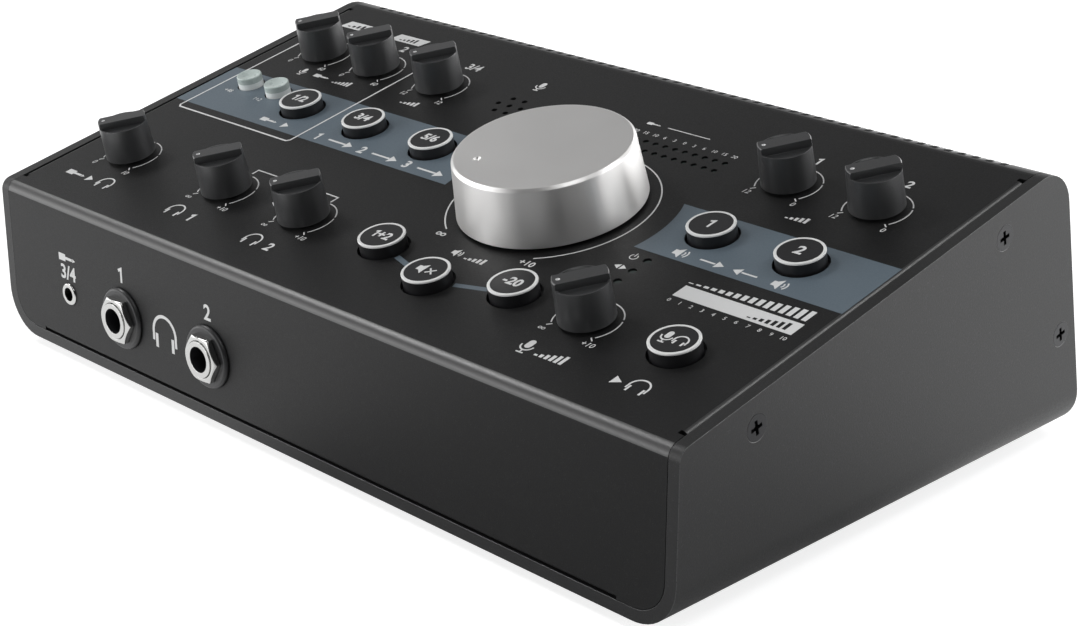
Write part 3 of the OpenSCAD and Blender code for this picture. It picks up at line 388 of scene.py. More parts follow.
def surfaced(name, colour, roughness, grain, depth=0.0, **constants):
    """A finish whose roughness and skin vary a little from place to place."""
    material, tree, surface = new_finish(name)
    surface.inputs["Base Color"].default_value = (*colour, 1)
    for key, value in constants.items():
        surface.inputs[key.replace("_", " ")].default_value = value
    place = add_node(tree, "ShaderNodeTexCoord")
    skin = add_node(tree, "ShaderNodeTexNoise", Scale=grain, Detail=3.0)
    wipe = add_node(tree, "ShaderNodeMapRange", From_Min=0.3, From_Max=0.7,
                    To_Min=roughness * 0.85, To_Max=roughness * 1.15)
    tree.links.new(place.outputs["Object"], skin.inputs["Vector"])
    tree.links.new(skin.outputs["Fac"], wipe.inputs["Value"])
    tree.links.new(wipe.outputs["Result"], surface.inputs["Roughness"])
    if depth:
        bumped(tree, skin.outputs["Fac"], depth)
    return material


case_paint = coated("case_paint", (0.011, 0.011, 0.0113), (0.04, 0.04, 0.041), grain=2400,
                    depth=0.03 * mm, gloss=0.46)

# Painted highlight: the rounded edges get a lighter, glossier coat, so they show a bright line
case_edge_highlight = surfaced("case_edge_highlight", (0.05, 0.05, 0.051),
                     roughness=0.3, grain=2400, depth=0.01 * mm, Specular_IOR_Level=0.9)
tray_paint_and_highlight = (case_paint, case_edge_highlight)
dressed("base_tray", "case", "case_paint", tray_paint_and_highlight, 0.35 * mm, 3, edge_slot=1)

# ---------------------------------------------------------------------------------------------
# Inside. Green boards stand on plated standoffs, with stamped pots, moulded switches and a
# microphone capsule on them; they show only through the vents and the light holes.
# ---------------------------------------------------------------------------------------------


def finish_nodes(material, *names):
    """Puts a finish on CAD nodes that keep their own shape."""
    for name in names:
        nodes[name].data.materials.clear()
        nodes[name].data.materials.append(material)


board_green = surfaced("board_green", (0.02, 0.10, 0.05), roughness=0.3, grain=900)
plated_steel = surfaced("plated_steel", (0.62, 0.62, 0.60),
                        roughness=0.28, grain=700, depth=0.004 * mm, Metallic=1.0)
pot_metal = surfaced("pot_metal", (0.4, 0.41, 0.43), roughness=0.4, grain=900, Metallic=1.0)
black_plastic = surfaced("black_plastic", (0.02, 0.02, 0.022),
                         roughness=0.42, grain=2200, depth=0.012 * mm)
finish_nodes(board_green, "control_board", "main_board", "front_board")
finish_nodes(plated_steel, "panel_standoffs", "tray_standoffs", "board_spacers", "board_screws",
             "volume_pot_nut", "volume_shaft")
finish_nodes(pot_metal, "pot_bodies", "volume_pot", "talkback_microphone")
finish_nodes(black_plastic, "switch_bodies", "power_switch")
finish_nodes(plated_steel, *(name for name in nodes if name.startswith("shaft_")))

# ---------------------------------------------------------------------------------------------
# Wrapped panel. Front face, sloped top and rear face are one sheet of 1.5 mm steel, punched
# for every control and vent. Its powder coat is finer and darker; the bends get a lighter, glossier
# coat as a painted highlight.
# ---------------------------------------------------------------------------------------------

panel_paint = coated("panel_paint", (0.007, 0.007, 0.0072), (0.03, 0.03, 0.03), grain=3200,
                     depth=0.02 * mm, gloss=0.28)
panel_bend_highlight = surfaced("panel_bend_highlight", (0.012, 0.012, 0.0123),
                      roughness=0.38, grain=3200, depth=0.012 * mm, Specular_IOR_Level=0.9)
panel_up = Vector(joints["volume_turn"]["axis"]).normalized()
panel_back = panel_up.cross(Vector((1, 0, 0)))
wrap_panel = smoothed(copied("wrap_panel"))
fit(wrap_panel, "case", "panel_paint", (panel_paint, panel_bend_highlight), "wrap_panel")

# A bend's faces lean between square on to the panel's way and the same way as it; they get the
# lighter, glossier coat, a painted highlight
same_way, square_on = 0.995, 0.1
for face in wrap_panel.data.polygons:
    leans = square_on < face.normal.dot(panel_up) < same_way
    face.material_index = 1 if leans and face.normal.y > -same_way else 0

# ---------------------------------------------------------------------------------------------
# Screws and feet. Countersunk cross-head screws in black oxide hold the side plates and the
# bottom. The case stands on four moulded rubber feet.
# ---------------------------------------------------------------------------------------------

black_screw = surfaced("black_screw", (0.055, 0.055, 0.057),
                       roughness=0.34, grain=1500, depth=0.008 * mm, Metallic=0.9)
for name in ("side_screws", "bottom_screws"):
    dressed(name, "case", "black_screw", black_screw, 0.2 * mm)
foot_rubber = surfaced("foot_rubber", (0.025, 0.025, 0.025),
                       roughness=0.75, grain=1800, depth=0.03 * mm)
dressed("rubber_feet", "case", "foot_rubber", foot_rubber, 0.4 * mm, 3)

# ---------------------------------------------------------------------------------------------
# Front jacks. Each headphone jack has a chromed nose with a hexagon nut on it and a black
# moulded collar behind; the mini jack beside them shows only its chromed barrel.
# ---------------------------------------------------------------------------------------------

jack_chrome = surfaced("jack_chrome", (0.55, 0.55, 0.54), roughness=0.17, grain=500, Metallic=1.0)
collar_black = surfaced("collar_black", (0.02, 0.02, 0.021),
                        roughness=0.36, grain=2400, depth=0.006 * mm)
dressed("jack_nuts", "case", "jack_chrome", jack_chrome, 0.2 * mm, 3)
dressed("mini_jack", "case", "jack_chrome", jack_chrome, 0.12 * mm)
dressed("jack_collars", "case", "black_plastic", collar_black, 0.35 * mm, 4)
jack_finish = (black_plastic, jack_chrome, pot_metal)
phone_jacks = dressed("phone_jacks", "case", "black_plastic", jack_finish, 0.15 * mm)

# The nose in front of the panel is chromed, and the wall of the bore is bare metal
hair = 0.02 * mm
bore_r = 3.25 * mm
bore_wall = 0.1 * mm
panel_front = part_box("wrap_panel")[0].y
nose_end = panel_front + 0.5 * mm
nuts_low, nuts_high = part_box("jack_nuts")
jack_z = (nuts_low.z + nuts_high.z) / 2
nut_half = (nuts_high.z - nuts_low.z) / 2
jack_columns = (nuts_low.x + nut_half, nuts_high.x - nut_half)
for face in phone_jacks.data.polygons:
    jack_x = min(jack_columns, key=lambda x: abs(x - face.center.x))
    from_axis = math.hypot(face.center.x - jack_x, face.center.z - jack_z)
    chromed = face.center.y < nose_end and from_axis > bore_r + hair
    in_bore = abs(from_axis - bore_r) < bore_wall
    face.material_index = 2 if in_bore else 1 if chromed else 0

# ---------------------------------------------------------------------------------------------
# Rear sockets. Combination sockets, line jacks and the power inlet are moulded in black, the
# data socket is a bent metal shell, and the power button is a square black cap.
# ---------------------------------------------------------------------------------------------

for name in ("line_jacks", "combo_sockets", "power_inlet"):
    dressed(name, "case", "black_plastic", black_plastic, 0.15 * mm)
dressed("data_socket", "case", "plated_steel", plated_steel, 0.08 * mm)
dressed("power_button", "power", "black_plastic", collar_black, 0.35 * mm, 3)

# ---------------------------------------------------------------------------------------------
# Printed bands. Blue-grey bands run from the panel's edges to an arc round the volume knob. They
# are screen printed, a few hundredths of a millimetre thick, with an eggshell surface.
# ---------------------------------------------------------------------------------------------

volume_foot = Vector(joints["volume_turn"]["pos_m"])
panel_corner = volume_foot - panel_back * ((volume_foot.y - panel_front) / panel_back.y)
panel_corner.x = 0


def face_at(corner, right, up):
    """The frame of a flat face: x to the right on it, y up it and z out of it."""
    return Matrix.Translation(corner) @ Matrix((right, up, right.cross(up))).transposed().to_4x4()


top_face = face_at(panel_corner, Vector((1, 0, 0)), panel_back)
floor_of_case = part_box("base_tray")[0].z
front_face = face_at(Vector((0, panel_front, floor_of_case)), Vector((1, 0, 0)), Vector((0, 0, 1)))


def on_panel(node):
    """The middle (x, y) of a CAD node on the sloped panel, and its greatest height."""
    down = top_face.inverted()
    xs, ys, zs = zip(*(down @ vertex.co for vertex in nodes[node].data.vertices))
    return (min(xs) + max(xs)) / 2, (min(ys) + max(ys)) / 2, max(zs)


def axis_on_panel(joint):
    """Where a turning knob's axis meets the panel."""
    place = top_face.inverted() @ Vector(joints[joint]["pos_m"])
    return place.x, place.y


ink = 0.03 * mm
print_band = surfaced("print_band", (0.093, 0.121, 0.145),
                      roughness=0.46, grain=2600, depth=0.01 * mm)
drawn = []


def ring_points(x, y, radius, start=0, end=360, step=5):
    """Points along an arc, anticlockwise from the right; a full turn leaves its last one out."""
    count = max(3, math.ceil(abs(end - start) / step))
    last = count if abs(end - start) == 360 else count + 1
    turns = [math.radians(start + (end - start) * i / count) for i in range(last)]
    return [(x + radius * math.cos(turn), y + radius * math.sin(turn)) for turn in turns]


def fill(*outlines):
    """Draws one flat filled shape; an outline inside another is a hole."""
    curve = bpy.data.curves.new("ink", "CURVE")
    curve.dimensions = "2D"
    curve.fill_mode = "BOTH"
    curve.extrude = ink
    for outline in outlines:
        spline = curve.splines.new("POLY")
        spline.points.add(len(outline) - 1)
        for point, (x, y) in zip(spline.points, outline):
            point.co = (x, y, 0, 1)
        spline.use_cyclic_u = True
    shape = bpy.data.objects.new("ink", curve)
    bpy.context.scene.collection.objects.link(shape)
    drawn.append(shape)


def line(points, width, closed=False):
    """Draws a line of even width through points."""
    left, right = [], []
    count = len(points)
    for i, here in enumerate(map(Vector, points)):
        before = Vector(points[i - 1]) if closed or i else here
        after = Vector(points[(i + 1) % count]) if closed or i < count - 1 else here
        ways = [way.normalized() for way in (here - before, after - here) if way.length]
        sides = [Vector((-way.y, way.x)) for way in ways]
        side = sum(sides, Vector((0, 0))).normalized()
        side *= width / 2 / side.dot(sides[0])
        left.append(here + side)
        right.append(here - side)
    if closed:
        fill(left, right)
    else:
        fill(left + right[::-1])


def press(name, face, material, height=0.0, body="case", slot="panel_paint"):
    """Makes what was drawn one thin printed piece on a face."""
    bpy.ops.object.select_all(action="DESELECT")
    for shape in drawn:
        shape.select_set(True)
    bpy.context.view_layer.objects.active = drawn[0]
    bpy.ops.object.convert(target="MESH")
    if len(drawn) > 1:
        bpy.ops.object.join()
    drawn.clear()
    piece = bpy.context.view_layer.objects.active
    bpy.ops.object.transform_apply(location=True, rotation=True, scale=True)
    bpy.ops.object.mode_set(mode="EDIT")
    bpy.ops.mesh.select_all(action="SELECT")
    bpy.ops.mesh.remove_doubles(threshold=weld)
    bpy.ops.mesh.normals_make_consistent(inside=False)
    bpy.ops.object.mode_set(mode="OBJECT")
    bpy.ops.object.shade_flat()
    piece.name = name
    piece.data.name = name
    piece.data.transform(face @ Matrix.Translation((0, 0, height)))
    return fit(piece, body, slot, material)


hole_r = 6.4 * mm
latch_hole_r = 3.9 * mm
link_gap = 0.5 * mm
link_width = 1.5 * mm
buttons = {name[len("button_"):]: on_panel(name) for name in nodes if name.startswith("button_")}
latches = {name[-1]: on_panel(name) for name in ("latch_button_1", "latch_button_2")}
volume_x, volume_y = axis_on_panel("volume_turn")
band_arc = 32.1 * mm
panel_edge = 115.9 * mm


def band(side, low, high, holes):
    """A band from the panel's edge to the arc round the volume knob, open round its buttons."""
    start, end = (math.degrees(math.asin((y - volume_y) / band_arc)) for y in (low, high))
    arc = ring_points(0, volume_y, band_arc, start, end, step=2)
    arc = [(volume_x + side * x, y) for x, y in arc]
    outline = [(side * panel_edge, low), *arc, (side * panel_edge, high)]
    fill(outline, *(ring_points(x, y, radius) for x, y, radius in holes))


source_holes = [(*buttons[name][:2], hole_r) for name in ("source_1", "source_2", "source_3")]
latch_holes = [(x, y, latch_hole_r) for x, y, top in latches.values()]
out_holes = [(*buttons[name][:2], hole_r) for name in ("out_a", "out_b")]
band(-1, 56.0 * mm, 77.6 * mm, source_holes + latch_holes)
band(1, 55.7 * mm, 76.4 * mm, out_holes)


def join_buttons(first, second):
    """A short line between two buttons' holes."""
    start, end = Vector(buttons[first][:2]), Vector(buttons[second][:2])
    way = (end - start).normalized() * (hole_r + link_gap)
    line([start + way, end - way], link_width)


join_buttons("mono", "mute")
join_buttons("mute", "dim")
press("printed_bands", top_face, print_band)

# ---------------------------------------------------------------------------------------------
# White print. Dials, frames, plain figures and common signs stand in for lettering, in one pass
# of white ink on the panel and another on the front face. On the panel, places run from its middle
# line to the right and from its front edge up the slope.
# ---------------------------------------------------------------------------------------------

print_white = surfaced("print_white", (0.62, 0.62, 0.615), roughness=0.5, grain=1500)
fine = 0.3 * mm
plain = 0.36 * mm
stout = 0.42 * mm
band_line = 0.5 * mm
thin_figure = 0.1 * mm
bold_figure = 0.12 * mm
dial_line = 0.32 * mm
dial_r = 8.0 * mm
dial_reach = 128
dial_gap = 3
tick_reach = (7.6 * mm, 9.0 * mm)
infinity = "∞"


def figures(text, x, y, size, weight=0.0, slant=0.0):
    """Draws plain figures centred on a place; their height is about 0.7 of the size."""
    words = bpy.data.curves.new("figures", "FONT")
    words.body = text
    words.size = size
    words.align_x = "CENTER"
    words.align_y = "CENTER"
    words.offset = weight
    words.shear = slant
    words.extrude = ink
    words.resolution_u = 3
    shape = bpy.data.objects.new("figures", words)
    shape.location = (x, y, 0)
    bpy.context.scene.collection.objects.link(shape)
    drawn.append(shape)


def one(x, y, height, weight):
    """The figure 1 with its flag, which the font draws as a bare stroke."""
    top, low = y + height / 2, y - height / 2
    line([(x - 0.3 * height, top - 0.24 * height), (x, top - weight / 2), (x, low)], weight)


def dial(joint, low, high):
    """The scale round a small knob: an arc in four parts, a tick at each end, two figures."""
    x, y = axis_on_panel(joint)
    part = 2 * dial_reach / 4
    for i in range(4):
        start = 90 - dial_reach + i * part
        arc = ring_points(x, y, dial_r, start + dial_gap, start + part - dial_gap, step=6)
        line(arc, dial_line)
    for side in (-1, 1):
        turn = math.radians(90 + side * (dial_reach + dial_gap))
        ray = Vector((math.cos(turn), math.sin(turn)))
        line([Vector((x, y)) + ray * reach for reach in tick_reach], dial_line)
    for text, aside in ((low, -6.8 * mm), (high, 6.9 * mm)):
        figures(text, x + aside, y - 7.4 * mm, 2.3 * mm, slant=0.15)


def headphones(x, y, size, weight):
    """A pair of headphones seen from the front: a bow and two ear pads."""
    bow = size / 2
    arc = ring_points(x, y, bow, -8, 188, step=8)
    line([(x + bow, y - 0.55 * bow), *arc, (x - bow, y - 0.55 * bow)], weight)
    for side in (-1, 1):
        inner = x + side * (bow - 1.55 * weight)
        line([(inner, y - 0.1 * bow), (inner, y - 0.9 * bow)], 1.25 * weight)


def speaker(x, y, size, weight, waves=2):
    """A loudspeaker: a box with a horn, and waves in front of it."""
    half = size / 2
    box, horn = 0.4 * half, 0.55 * half
    fill([(x - half, y - box), (x - horn, y - box), (x, y - half * 0.9), (x, y + half * 0.9),
          (x - horn, y + box), (x - half, y + box)])
    for wave in range(waves):
        line(ring_points(x - 0.1 * half, y, (0.5 + 0.38 * wave) * half, -42, 42, step=12), weight)


def microphone(x, y, size, weight):
    """A microphone on a stand: a capsule, a cradle, a stem and a foot."""
    head = 0.17 * size
    top, low = y + 0.5 * size - head, y + 0.05 * size
    cradle, foot, base = 0.34 * size, 0.2 * size, y - 0.5 * size
    upper = ring_points(x, top, head, 0, 180, step=15)
    lower = ring_points(x, low, head, 180, 359.9, step=15)
    fill(upper + lower)
    line(ring_points(x, low, cradle, 180, 359.9, step=12), weight)
    line([(x, low - cradle), (x, base)], weight)
    line([(x - foot, base), (x + foot, base)], weight)


def plug(x, y, size):
    """A jack plug lying on its side: a grip, a shaft and a tip."""
    grip, neck = 0.13 * size, 0.07 * size
    back, front = x - 0.5 * size, x - 0.1 * size
    tip, end = x + 0.34 * size, x + 0.5 * size
    fill([(back, y - grip), (front, y - grip), (front, y + grip), (back, y + grip)])
    line([(front, y), (x + 0.3 * size, y)], 0.1 * size)
    fill([(tip, y - neck), (end, y), (tip, y + neck)])


def bar_outlines(x, y, width, height, bars):
    """The outlines of a level sign's bars, which grow to the right."""
    step = width / bars
    low = y - height / 2
    outlines = []
    for i in range(bars):
        left = x - width / 2 + i * step
        right = left + 0.62 * step
        top = low + height * (i + 1) / bars
        outlines.append([(left, low), (right, low), (right, top), (left, top)])
    return outlines


def ramp(x, y, width, height, bars):
    """A level sign, drawn in white."""
    for outline in bar_outlines(x, y, width, height, bars):
        fill(outline)


def arrow(x, y, width, height, way=1):
    """An arrowhead that points right (1) or left (-1)."""
    back, tip = x - way * width / 2, x + way * width / 2
    fill([(back, y - height / 2), (tip, y), (back, y + height / 2)])


# Dials, and the figures and signs over and under them
dials = {"gain_1": ("0", "60"), "gain_2": ("0", "60"), "source_trim": ("12", "12"),
         "direct": ("0", "10"), "phones_1": (infinity, "+10"), "phones_2": (infinity, "+10"),
         "talkback": (infinity, "+10"), "trim_a": ("12", "0"), "trim_b": ("12", "0")}
for name, (low, high) in dials.items():
    dial(name + "_turn", low, high)
one(-99.6 * mm, 107.8 * mm, 3.0 * mm, 0.55 * mm)
figures("2", -77.6 * mm, 107.8 * mm, 4.2 * mm, thin_figure)
figures("3/4", -49.3 * mm, 108 * mm, 4.2 * mm, thin_figure)
one(69.5 * mm, 107.5 * mm, 3.0 * mm, 0.55 * mm)
figures("2", 95.0 * mm, 107.7 * mm, 4.2 * mm, thin_figure)
microphone(-94.5 * mm, 84.6 * mm, 3.6 * mm, fine)
plug(-86.5 * mm, 84.6 * mm, 6.0 * mm)
ramp(-77.5 * mm, 84.6 * mm, 7.0 * mm, 2.4 * mm, 6)
ramp(-49.5 * mm, 84.4 * mm, 6.4 * mm, 2.2 * mm, 5)
ramp(82.3 * mm, 83.4 * mm, 6.4 * mm, 2.2 * mm, 5)
microphone(-23.3 * mm, 107.6 * mm, 4.4 * mm, plain)
for x in (-56.4 * mm, -25.3 * mm):
    headphones(x - 3.6 * mm, 13.2 * mm, 5.0 * mm, stout)
one(-52.7 * mm, 12.7 * mm, 3.2 * mm, 0.6 * mm)
figures("2", -21.9 * mm, 12.6 * mm, 4.4 * mm, thin_figure)
for y in (28.2 * mm, 31.4 * mm):
    arrow(-38.6 * mm, y, 1.9 * mm, 2.2 * mm, -1)
plug(-103.2 * mm, 12.8 * mm, 7.4 * mm)
arrow(-96.8 * mm, 12.8 * mm, 2.2 * mm, 2.6 * mm)
headphones(-90.6 * mm, 13.2 * mm, 5.0 * mm, stout)
microphone(65.8 * mm, 12.6 * mm, 5.0 * mm, 0.38 * mm)
ramp(73.6 * mm, 12.4 * mm, 8.4 * mm, 3.2 * mm, 6)
arrow(91.9 * mm, 12.6 * mm, 2.4 * mm, 2.8 * mm)
headphones(97.4 * mm, 13.0 * mm, 5.0 * mm, stout)

# Two slanted chips over the inputs, and the bracket over the headphone knobs
chip_low, chip_high = 111.2 * mm, 115 * mm
lean = 1.2 * mm
chip_middle = (chip_low + chip_high) / 2
for left, right, bars in ((-109.2 * mm, -97.6 * mm, 4), (-87.6 * mm, -74.2 * mm, 5)):
    low_side = [(left, chip_low), (right - lean, chip_low)]
    high_side = [(right, chip_high), (left + lean, chip_high)]
    sign = bar_outlines((left + right) / 2, chip_middle, 7 * mm, 2.2 * mm, bars)
    fill(low_side + high_side, *sign)
bracket_left, bracket_right, bracket_top = -57.2 * mm, -25.7 * mm, 38.2 * mm
line([(bracket_left, 36 * mm), (bracket_left, bracket_top), (bracket_right, bracket_top),
      (bracket_right, 35.6 * mm)], 0.4 * mm)

# The volume ring and its ends
volume_ring_r = 25.87 * mm
volume_reach = 146
volume_ends = (90 - volume_reach, 90 + volume_reach)
line(ring_points(volume_x, volume_y, volume_ring_r, *volume_ends, step=3), plain)
figures(infinity, 11.8 * mm, 38 * mm, 3.4 * mm, 0.05 * mm)
figures("+10", 40.4 * mm, 38 * mm, 2.9 * mm, 0.05 * mm)
speaker(22.4 * mm, 33.5 * mm, 3.4 * mm, fine)
ramp(28.6 * mm, 33.4 * mm, 6.4 * mm, 2.2 * mm, 5)

# The meter's figures, the status signs, and the level ramp on the right
meter_right = 49.6 * mm
light_pitch = 3.18 * mm
meter = ("30", "20", "15", "10", "6", "3", "0", "3", "6", "10", "15", "20")
for i, number in enumerate(meter, 1 - len(meter)):
    figures(number, meter_right + light_pitch * i, 100 * mm, 1.75 * mm)
plug(19.8 * mm, 104.5 * mm, 4.4 * mm)
line([(24.4 * mm, 104.5 * mm), (38 * mm, 104.5 * mm)], fine)
line(ring_points(60.4 * mm, 52.2 * mm, 1.0 * mm, 125, 415, step=15), 0.26 * mm)
line([(60.4 * mm, 52.4 * mm), (60.4 * mm, 53.7 * mm)], 0.26 * mm)
arrow(59.6 * mm, 47.45 * mm, 1.5 * mm, 1.9 * mm, -1)
arrow(61.6 * mm, 47.45 * mm, 1.5 * mm, 1.9 * mm)
figures("+48", 59.6 * mm, 42.5 * mm, 1.9 * mm)
ramp(95.4 * mm, 51.6 * mm, 33.0 * mm, 4.0 * mm, 16)
bar_low, bar_high = 43.9 * mm, 48.5 * mm
fill([(79.2 * mm, bar_low), (111.8 * mm, bar_low), (111.8 * mm, bar_high), (79.2 * mm, bar_high)],
     *bar_outlines(104.6 * mm, (bar_low + bar_high) / 2, 11 * mm, 2.8 * mm, 7))
for i in range(11):
    figures(str(i), 79.8 * mm + 3.14 * mm * i, 42.1 * mm, 1.7 * mm)
press("printed_signs", top_face, print_white)

# What lies on the bands: the frame round the inputs, figures by the latches, and the bands' signs
frame_left, frame_right, frame_low, nick = -111.3 * mm, -63.3 * mm, 53 * mm, 0.8 * mm
line([(frame_left, 97.1 * mm), (frame_left, frame_low + nick), (frame_left + nick, frame_low),
      (frame_right - nick, frame_low), (frame_right, frame_low + nick), (frame_right, 98.6 * mm)],
     band_line)
figures("+48", -105.4 * mm, 66.3 * mm, 2.1 * mm)
figures("1+2", -92.6 * mm, 66.3 * mm, 2.1 * mm)
plug(-78.5 * mm, 59 * mm, 6.4 * mm)
arrow(-71.5 * mm, 59 * mm, 2.2 * mm, 2.6 * mm)
one(-57.6 * mm, 59 * mm, 3.2 * mm, 0.6 * mm)
figures("2", -40.3 * mm, 58.9 * mm, 4.4 * mm, bold_figure)
figures("3", -23.1 * mm, 58.9 * mm, 4.4 * mm, bold_figure)
for x in (-53.6 * mm, -36.4 * mm, -19.2 * mm):
    line([(x, 59 * mm), (x + 6.6 * mm, 59 * mm)], 0.6 * mm)
    arrow(x + 8.0 * mm, 59 * mm, 2.6 * mm, 3.0 * mm)
speaker(69.0 * mm, 58.6 * mm, 4.4 * mm, plain)
line([(74.5 * mm, 58.6 * mm), (78.8 * mm, 58.6 * mm)], band_line)
arrow(80.2 * mm, 58.6 * mm, 2.2 * mm, 2.6 * mm)
arrow(85.0 * mm, 58.6 * mm, 2.2 * mm, 2.6 * mm, -1)
line([(86.4 * mm, 58.6 * mm), (90.7 * mm, 58.6 * mm)], band_line)
speaker(97.2 * mm, 58.6 * mm, 4.4 * mm, plain)
press("printed_band_signs", top_face, print_white, ink)

# The front face's figures and its headphones
one(-66.6 * mm, 28.2 * mm, 4.0 * mm, 0.75 * mm)
figures("2", -31.0 * mm, 27.8 * mm, 5.6 * mm, bold_figure)
figures("3/4", -90.9 * mm, 22.3 * mm, 5.4 * mm, bold_figure)
plug(-91 * mm, 26.4 * mm, 7.4 * mm)
headphones(-49.2 * mm, 17.2 * mm, 9.2 * mm, 0.85 * mm)
press("printed_front", front_face, print_white)

# ---------------------------------------------------------------------------------------------
# Light pipes. Clear rods end a little below the panel in the meter's and the status lights'
# holes; unlit, they look like smoked glass.
# ---------------------------------------------------------------------------------------------

smoked = surfaced("smoked_pipe", (0.06, 0.075, 0.07), roughness=0.16, grain=700)
finish_nodes(smoked, "meter_lights", "status_lights")

# ---------------------------------------------------------------------------------------------
# Push buttons. Nine round caps are moulded in black with a white light ring in the rim, whose
# wall shows as a thin white line, and the sign is printed on the cap.
# ---------------------------------------------------------------------------------------------


def drawn_up(piece, profile):
    """Shapes a disc or ring: extrudes it from one (radius, height) of the profile to the next."""
    alone(piece)
    bpy.ops.object.mode_set(mode="EDIT")
    bpy.ops.mesh.select_all(action="SELECT")
    radius, height = profile[0]
    for next_radius, next_height in profile[1:]:
        lift = (0, 0, next_height - height)
        bpy.ops.mesh.extrude_region_move(TRANSFORM_OT_translate={"value": lift})
        grow = next_radius / radius
        bpy.ops.transform.resize(value=(grow, grow, 1), center_override=(0, 0, next_height))
        radius, height = next_radius, next_height
    bpy.ops.mesh.select_all(action="SELECT")
    bpy.ops.mesh.remove_doubles(threshold=weld)
    bpy.ops.mesh.normals_make_consistent(inside=False)
    bpy.ops.object.mode_set(mode="OBJECT")
    bpy.ops.object.shade_smooth_by_angle(angle=smooth_angle)


cap_r = 5.75 * mm
ring_inner = 5.08 * mm
ring_height = 0.42 * mm
ring_chamfer = 0.12 * mm
button_black = surfaced("button_black", (0.010, 0.010, 0.011),
                        roughness=0.34, grain=1800, depth=0.004 * mm)
ring_white = surfaced("ring_white", (0.68, 0.68, 0.67), roughness=0.35, grain=900)


def light_ring(name, body, x, y, top):
    """The white ring in the rim of a cap, a hair proud of its wall and its top."""
    bpy.ops.object.select_all(action="DESELECT")
    bpy.ops.mesh.primitive_circle_add(vertices=96, radius=ring_inner, fill_type="NOTHING")
    ring = bpy.context.object
    ring.name = name
    ring.data.name = name
    wall = cap_r + hair
    drawn_up(ring, [(ring_inner, 0), (wall, 0), (wall, ring_height - ring_chamfer),
                    (wall - ring_chamfer, ring_height), (ring_inner, ring_height), (ring_inner, 0)])
    ring.data.transform(top_face @ Matrix.Translation((x, y, top + hair - ring_height)))
    fit(ring, body, "button_plastic", ring_white)


def legend(name, x, y):
    """The sign on one cap: figures for sources and outputs, common signs for the rest."""
    texts = {"source_2": "3/4", "source_3": "5/6", "dim": "-20"}
    after_one = {"source_1": "/2", "mono": "+2"}
    if name in texts:
        figures(texts[name], x, y, 4.0 * mm, bold_figure)
    elif name in after_one:
        one(x - 1.7 * mm, y, 2.8 * mm, 0.55 * mm)
        figures(after_one[name], x + 0.9 * mm, y, 4.0 * mm, bold_figure)
    elif name == "out_a":
        one(x + 0.2 * mm, y, 3.3 * mm, 0.62 * mm)
    elif name == "out_b":
        figures("2", x, y, 4.6 * mm, bold_figure)
    elif name == "mute":
        speaker(x - 0.3 * mm, y, 4.4 * mm, 0.4 * mm, waves=0)
        for rise in (-1.0 * mm, 1.0 * mm):
            line([(x + 0.7 * mm, y + rise), (x + 2.7 * mm, y - rise)], stout)
    else:
        microphone(x - 2.0 * mm, y, 4.2 * mm, plain)
        headphones(x + 1.7 * mm, y + 0.1 * mm, 3.4 * mm, 0.4 * mm)


for name, (x, y, top) in buttons.items():
    body = "press_" + name
    dressed("button_" + name, body, "button_plastic", button_black, 0.1 * mm)
    light_ring("ring_" + name, body, x, y, top)
    legend(name, x, y)
    press("legend_" + name, top_face, print_white, top, body, "button_plastic")

# ---------------------------------------------------------------------------------------------
# Latching buttons. Two small caps are moulded in two shots: a milky clear top over a white skirt
# that ends halfway up the part that shows.
# ---------------------------------------------------------------------------------------------

milky = surfaced("milky_plastic", (0.42, 0.48, 0.46), roughness=0.3, grain=600,
                 Subsurface_Weight=0.3, Subsurface_Radius=(1, 1, 1), Subsurface_Scale=0.8 * mm)
skirt_share = 0.46
skirt_white = surfaced("skirt_white", (0.74, 0.77, 0.76), roughness=0.35, grain=700)
for number, (x, y, top) in latches.items():
    cap = copied("latch_button_" + number)
    skirt_top = skirt_share * top
    bpy.ops.object.mode_set(mode="EDIT")
    bpy.ops.mesh.select_all(action="SELECT")
    bpy.ops.mesh.bisect(plane_co=top_face @ Vector((x, y, skirt_top)), plane_no=panel_up)
    bpy.ops.object.mode_set(mode="OBJECT")
    rounded(cap, 0.25 * mm, 3)
    fit(cap, "latch_" + number, "white_plastic", (milky, skirt_white), "latch_button_" + number)
    for face in cap.data.polygons:
        face.material_index = 1 if (top_face.inverted() @ face.center).z < skirt_top else 0

# ---------------------------------------------------------------------------------------------
# Small knobs. Nine knobs are moulded in satin charcoal plastic and pressed on their shafts. A
# grip rises across the top between two hollows, and a dimple in it is the pointer.
# ---------------------------------------------------------------------------------------------

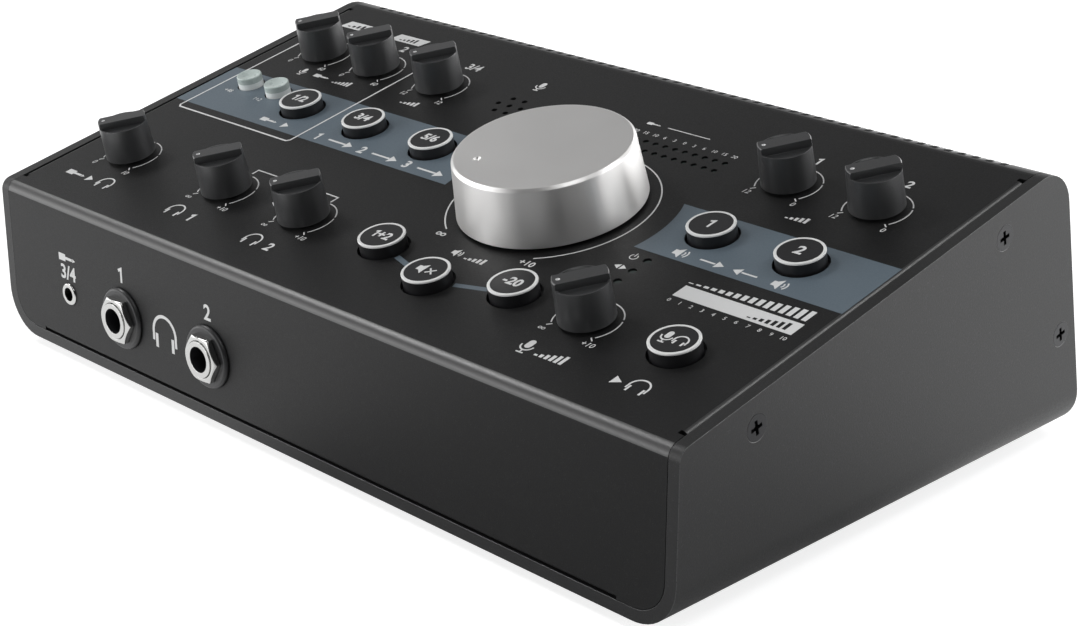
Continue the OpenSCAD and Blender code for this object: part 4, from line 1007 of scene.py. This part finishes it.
knob_plastic = surfaced("knob_plastic", (0.029, 0.0295, 0.0305),
                        roughness=0.32, grain=9000, Specular_IOR_Level=0.9)
# Painted highlight: the rounded rims get a lighter, glossier plastic, so they show bright lines
knob_rim_highlight = surfaced("knob_rim_highlight", (0.04, 0.041, 0.043),
                     roughness=0.2, grain=9000, Specular_IOR_Level=1.0)
knob_plastic_and_highlights = (knob_plastic, knob_rim_highlight, print_white)
half_sweep = 143.5
pointer_way = math.radians(90 + half_sweep)
pointer_reach = 4.8 * mm
pointer_r = 0.6 * mm
dimple_deep = 1.0 * mm
foot_taper = 0.055
to_panel = top_face.inverted()
for name in [name for name in nodes if name.startswith("knob_")]:
    body = name[len("knob_"):]
    knob = dressed(name, body, "knob_plastic", knob_plastic_and_highlights, 0.2 * mm, 3, edge_slot=1)
    axis = Vector(axis_on_panel(body + "_turn"))
    pointer = axis + pointer_reach * Vector((math.cos(pointer_way), math.sin(pointer_way)))
    grip_top = on_panel(name)[2]
    for vertex in knob.data.vertices:
        spot = to_panel @ vertex.co
        spot.xy = axis + (spot.xy - axis) * (1 - foot_taper * (1 - spot.z / grip_top))
        vertex.co = top_face @ spot
    # Painted glint: the faces in the pointer dimple are given white ink, for the highlight that
    # shows in the dimple
    for face in knob.data.polygons:
        spot = to_panel @ face.center
        in_dimple = hair < grip_top - spot.z < dimple_deep
        if in_dimple and (spot.xy - pointer).length < pointer_r:
            face.material_index = 2

# ---------------------------------------------------------------------------------------------
# Volume knob. It is turned from solid aluminium with a slight taper and a polished chamfer, bead
# blasted and clear anodised, and a drilled dimple is its pointer.
# ---------------------------------------------------------------------------------------------


def blasted_metal(name, turned=0.0):
    """Bead-blasted aluminium with a soft lustre, drawn out along the axis where it was turned."""
    material, tree, surface = new_finish(name)
    surface.inputs["Metallic"].default_value = 1.0
    if turned:
        surface.inputs["Anisotropic"].default_value = turned
        along = add_node(tree, "ShaderNodeCombineXYZ", X=panel_up.x, Y=panel_up.y, Z=panel_up.z)
        tree.links.new(along.outputs[0], surface.inputs["Tangent"])
    place = add_node(tree, "ShaderNodeTexCoord")
    blast = add_node(tree, "ShaderNodeTexNoise", Scale=3600.0, Detail=3.0)
    cloud = add_node(tree, "ShaderNodeTexNoise", Scale=50.0, Detail=3.0)
    tone = add_node(tree, "ShaderNodeMix", data_type="RGBA")
    tone.inputs["A"].default_value = (0.86, 0.85, 0.84, 1)
    tone.inputs["B"].default_value = (0.92, 0.91, 0.9, 1)
    lustre = add_node(tree, "ShaderNodeMapRange", To_Min=0.39, To_Max=0.45)
    for texture in (blast, cloud):
        tree.links.new(place.outputs["Object"], texture.inputs["Vector"])
    tree.links.new(cloud.outputs["Fac"], tone.inputs["Factor"])
    tree.links.new(tone.outputs["Result"], surface.inputs["Base Color"])
    tree.links.new(cloud.outputs["Fac"], lustre.inputs["Value"])
    tree.links.new(lustre.outputs["Result"], surface.inputs["Roughness"])
    bumped(tree, blast.outputs["Fac"], 0.01 * mm)
    return material


flat_top = 0.97
volume_metals = (blasted_metal("volume_metal"), blasted_metal("volume_wall_metal", turned=0.75))
volume_knob = dressed("volume_knob", "volume", "volume_metal", volume_metals, 0.15 * mm, 3)
for face in volume_knob.data.polygons:
    face.material_index = 0 if face.normal.dot(panel_up) > flat_top else 1
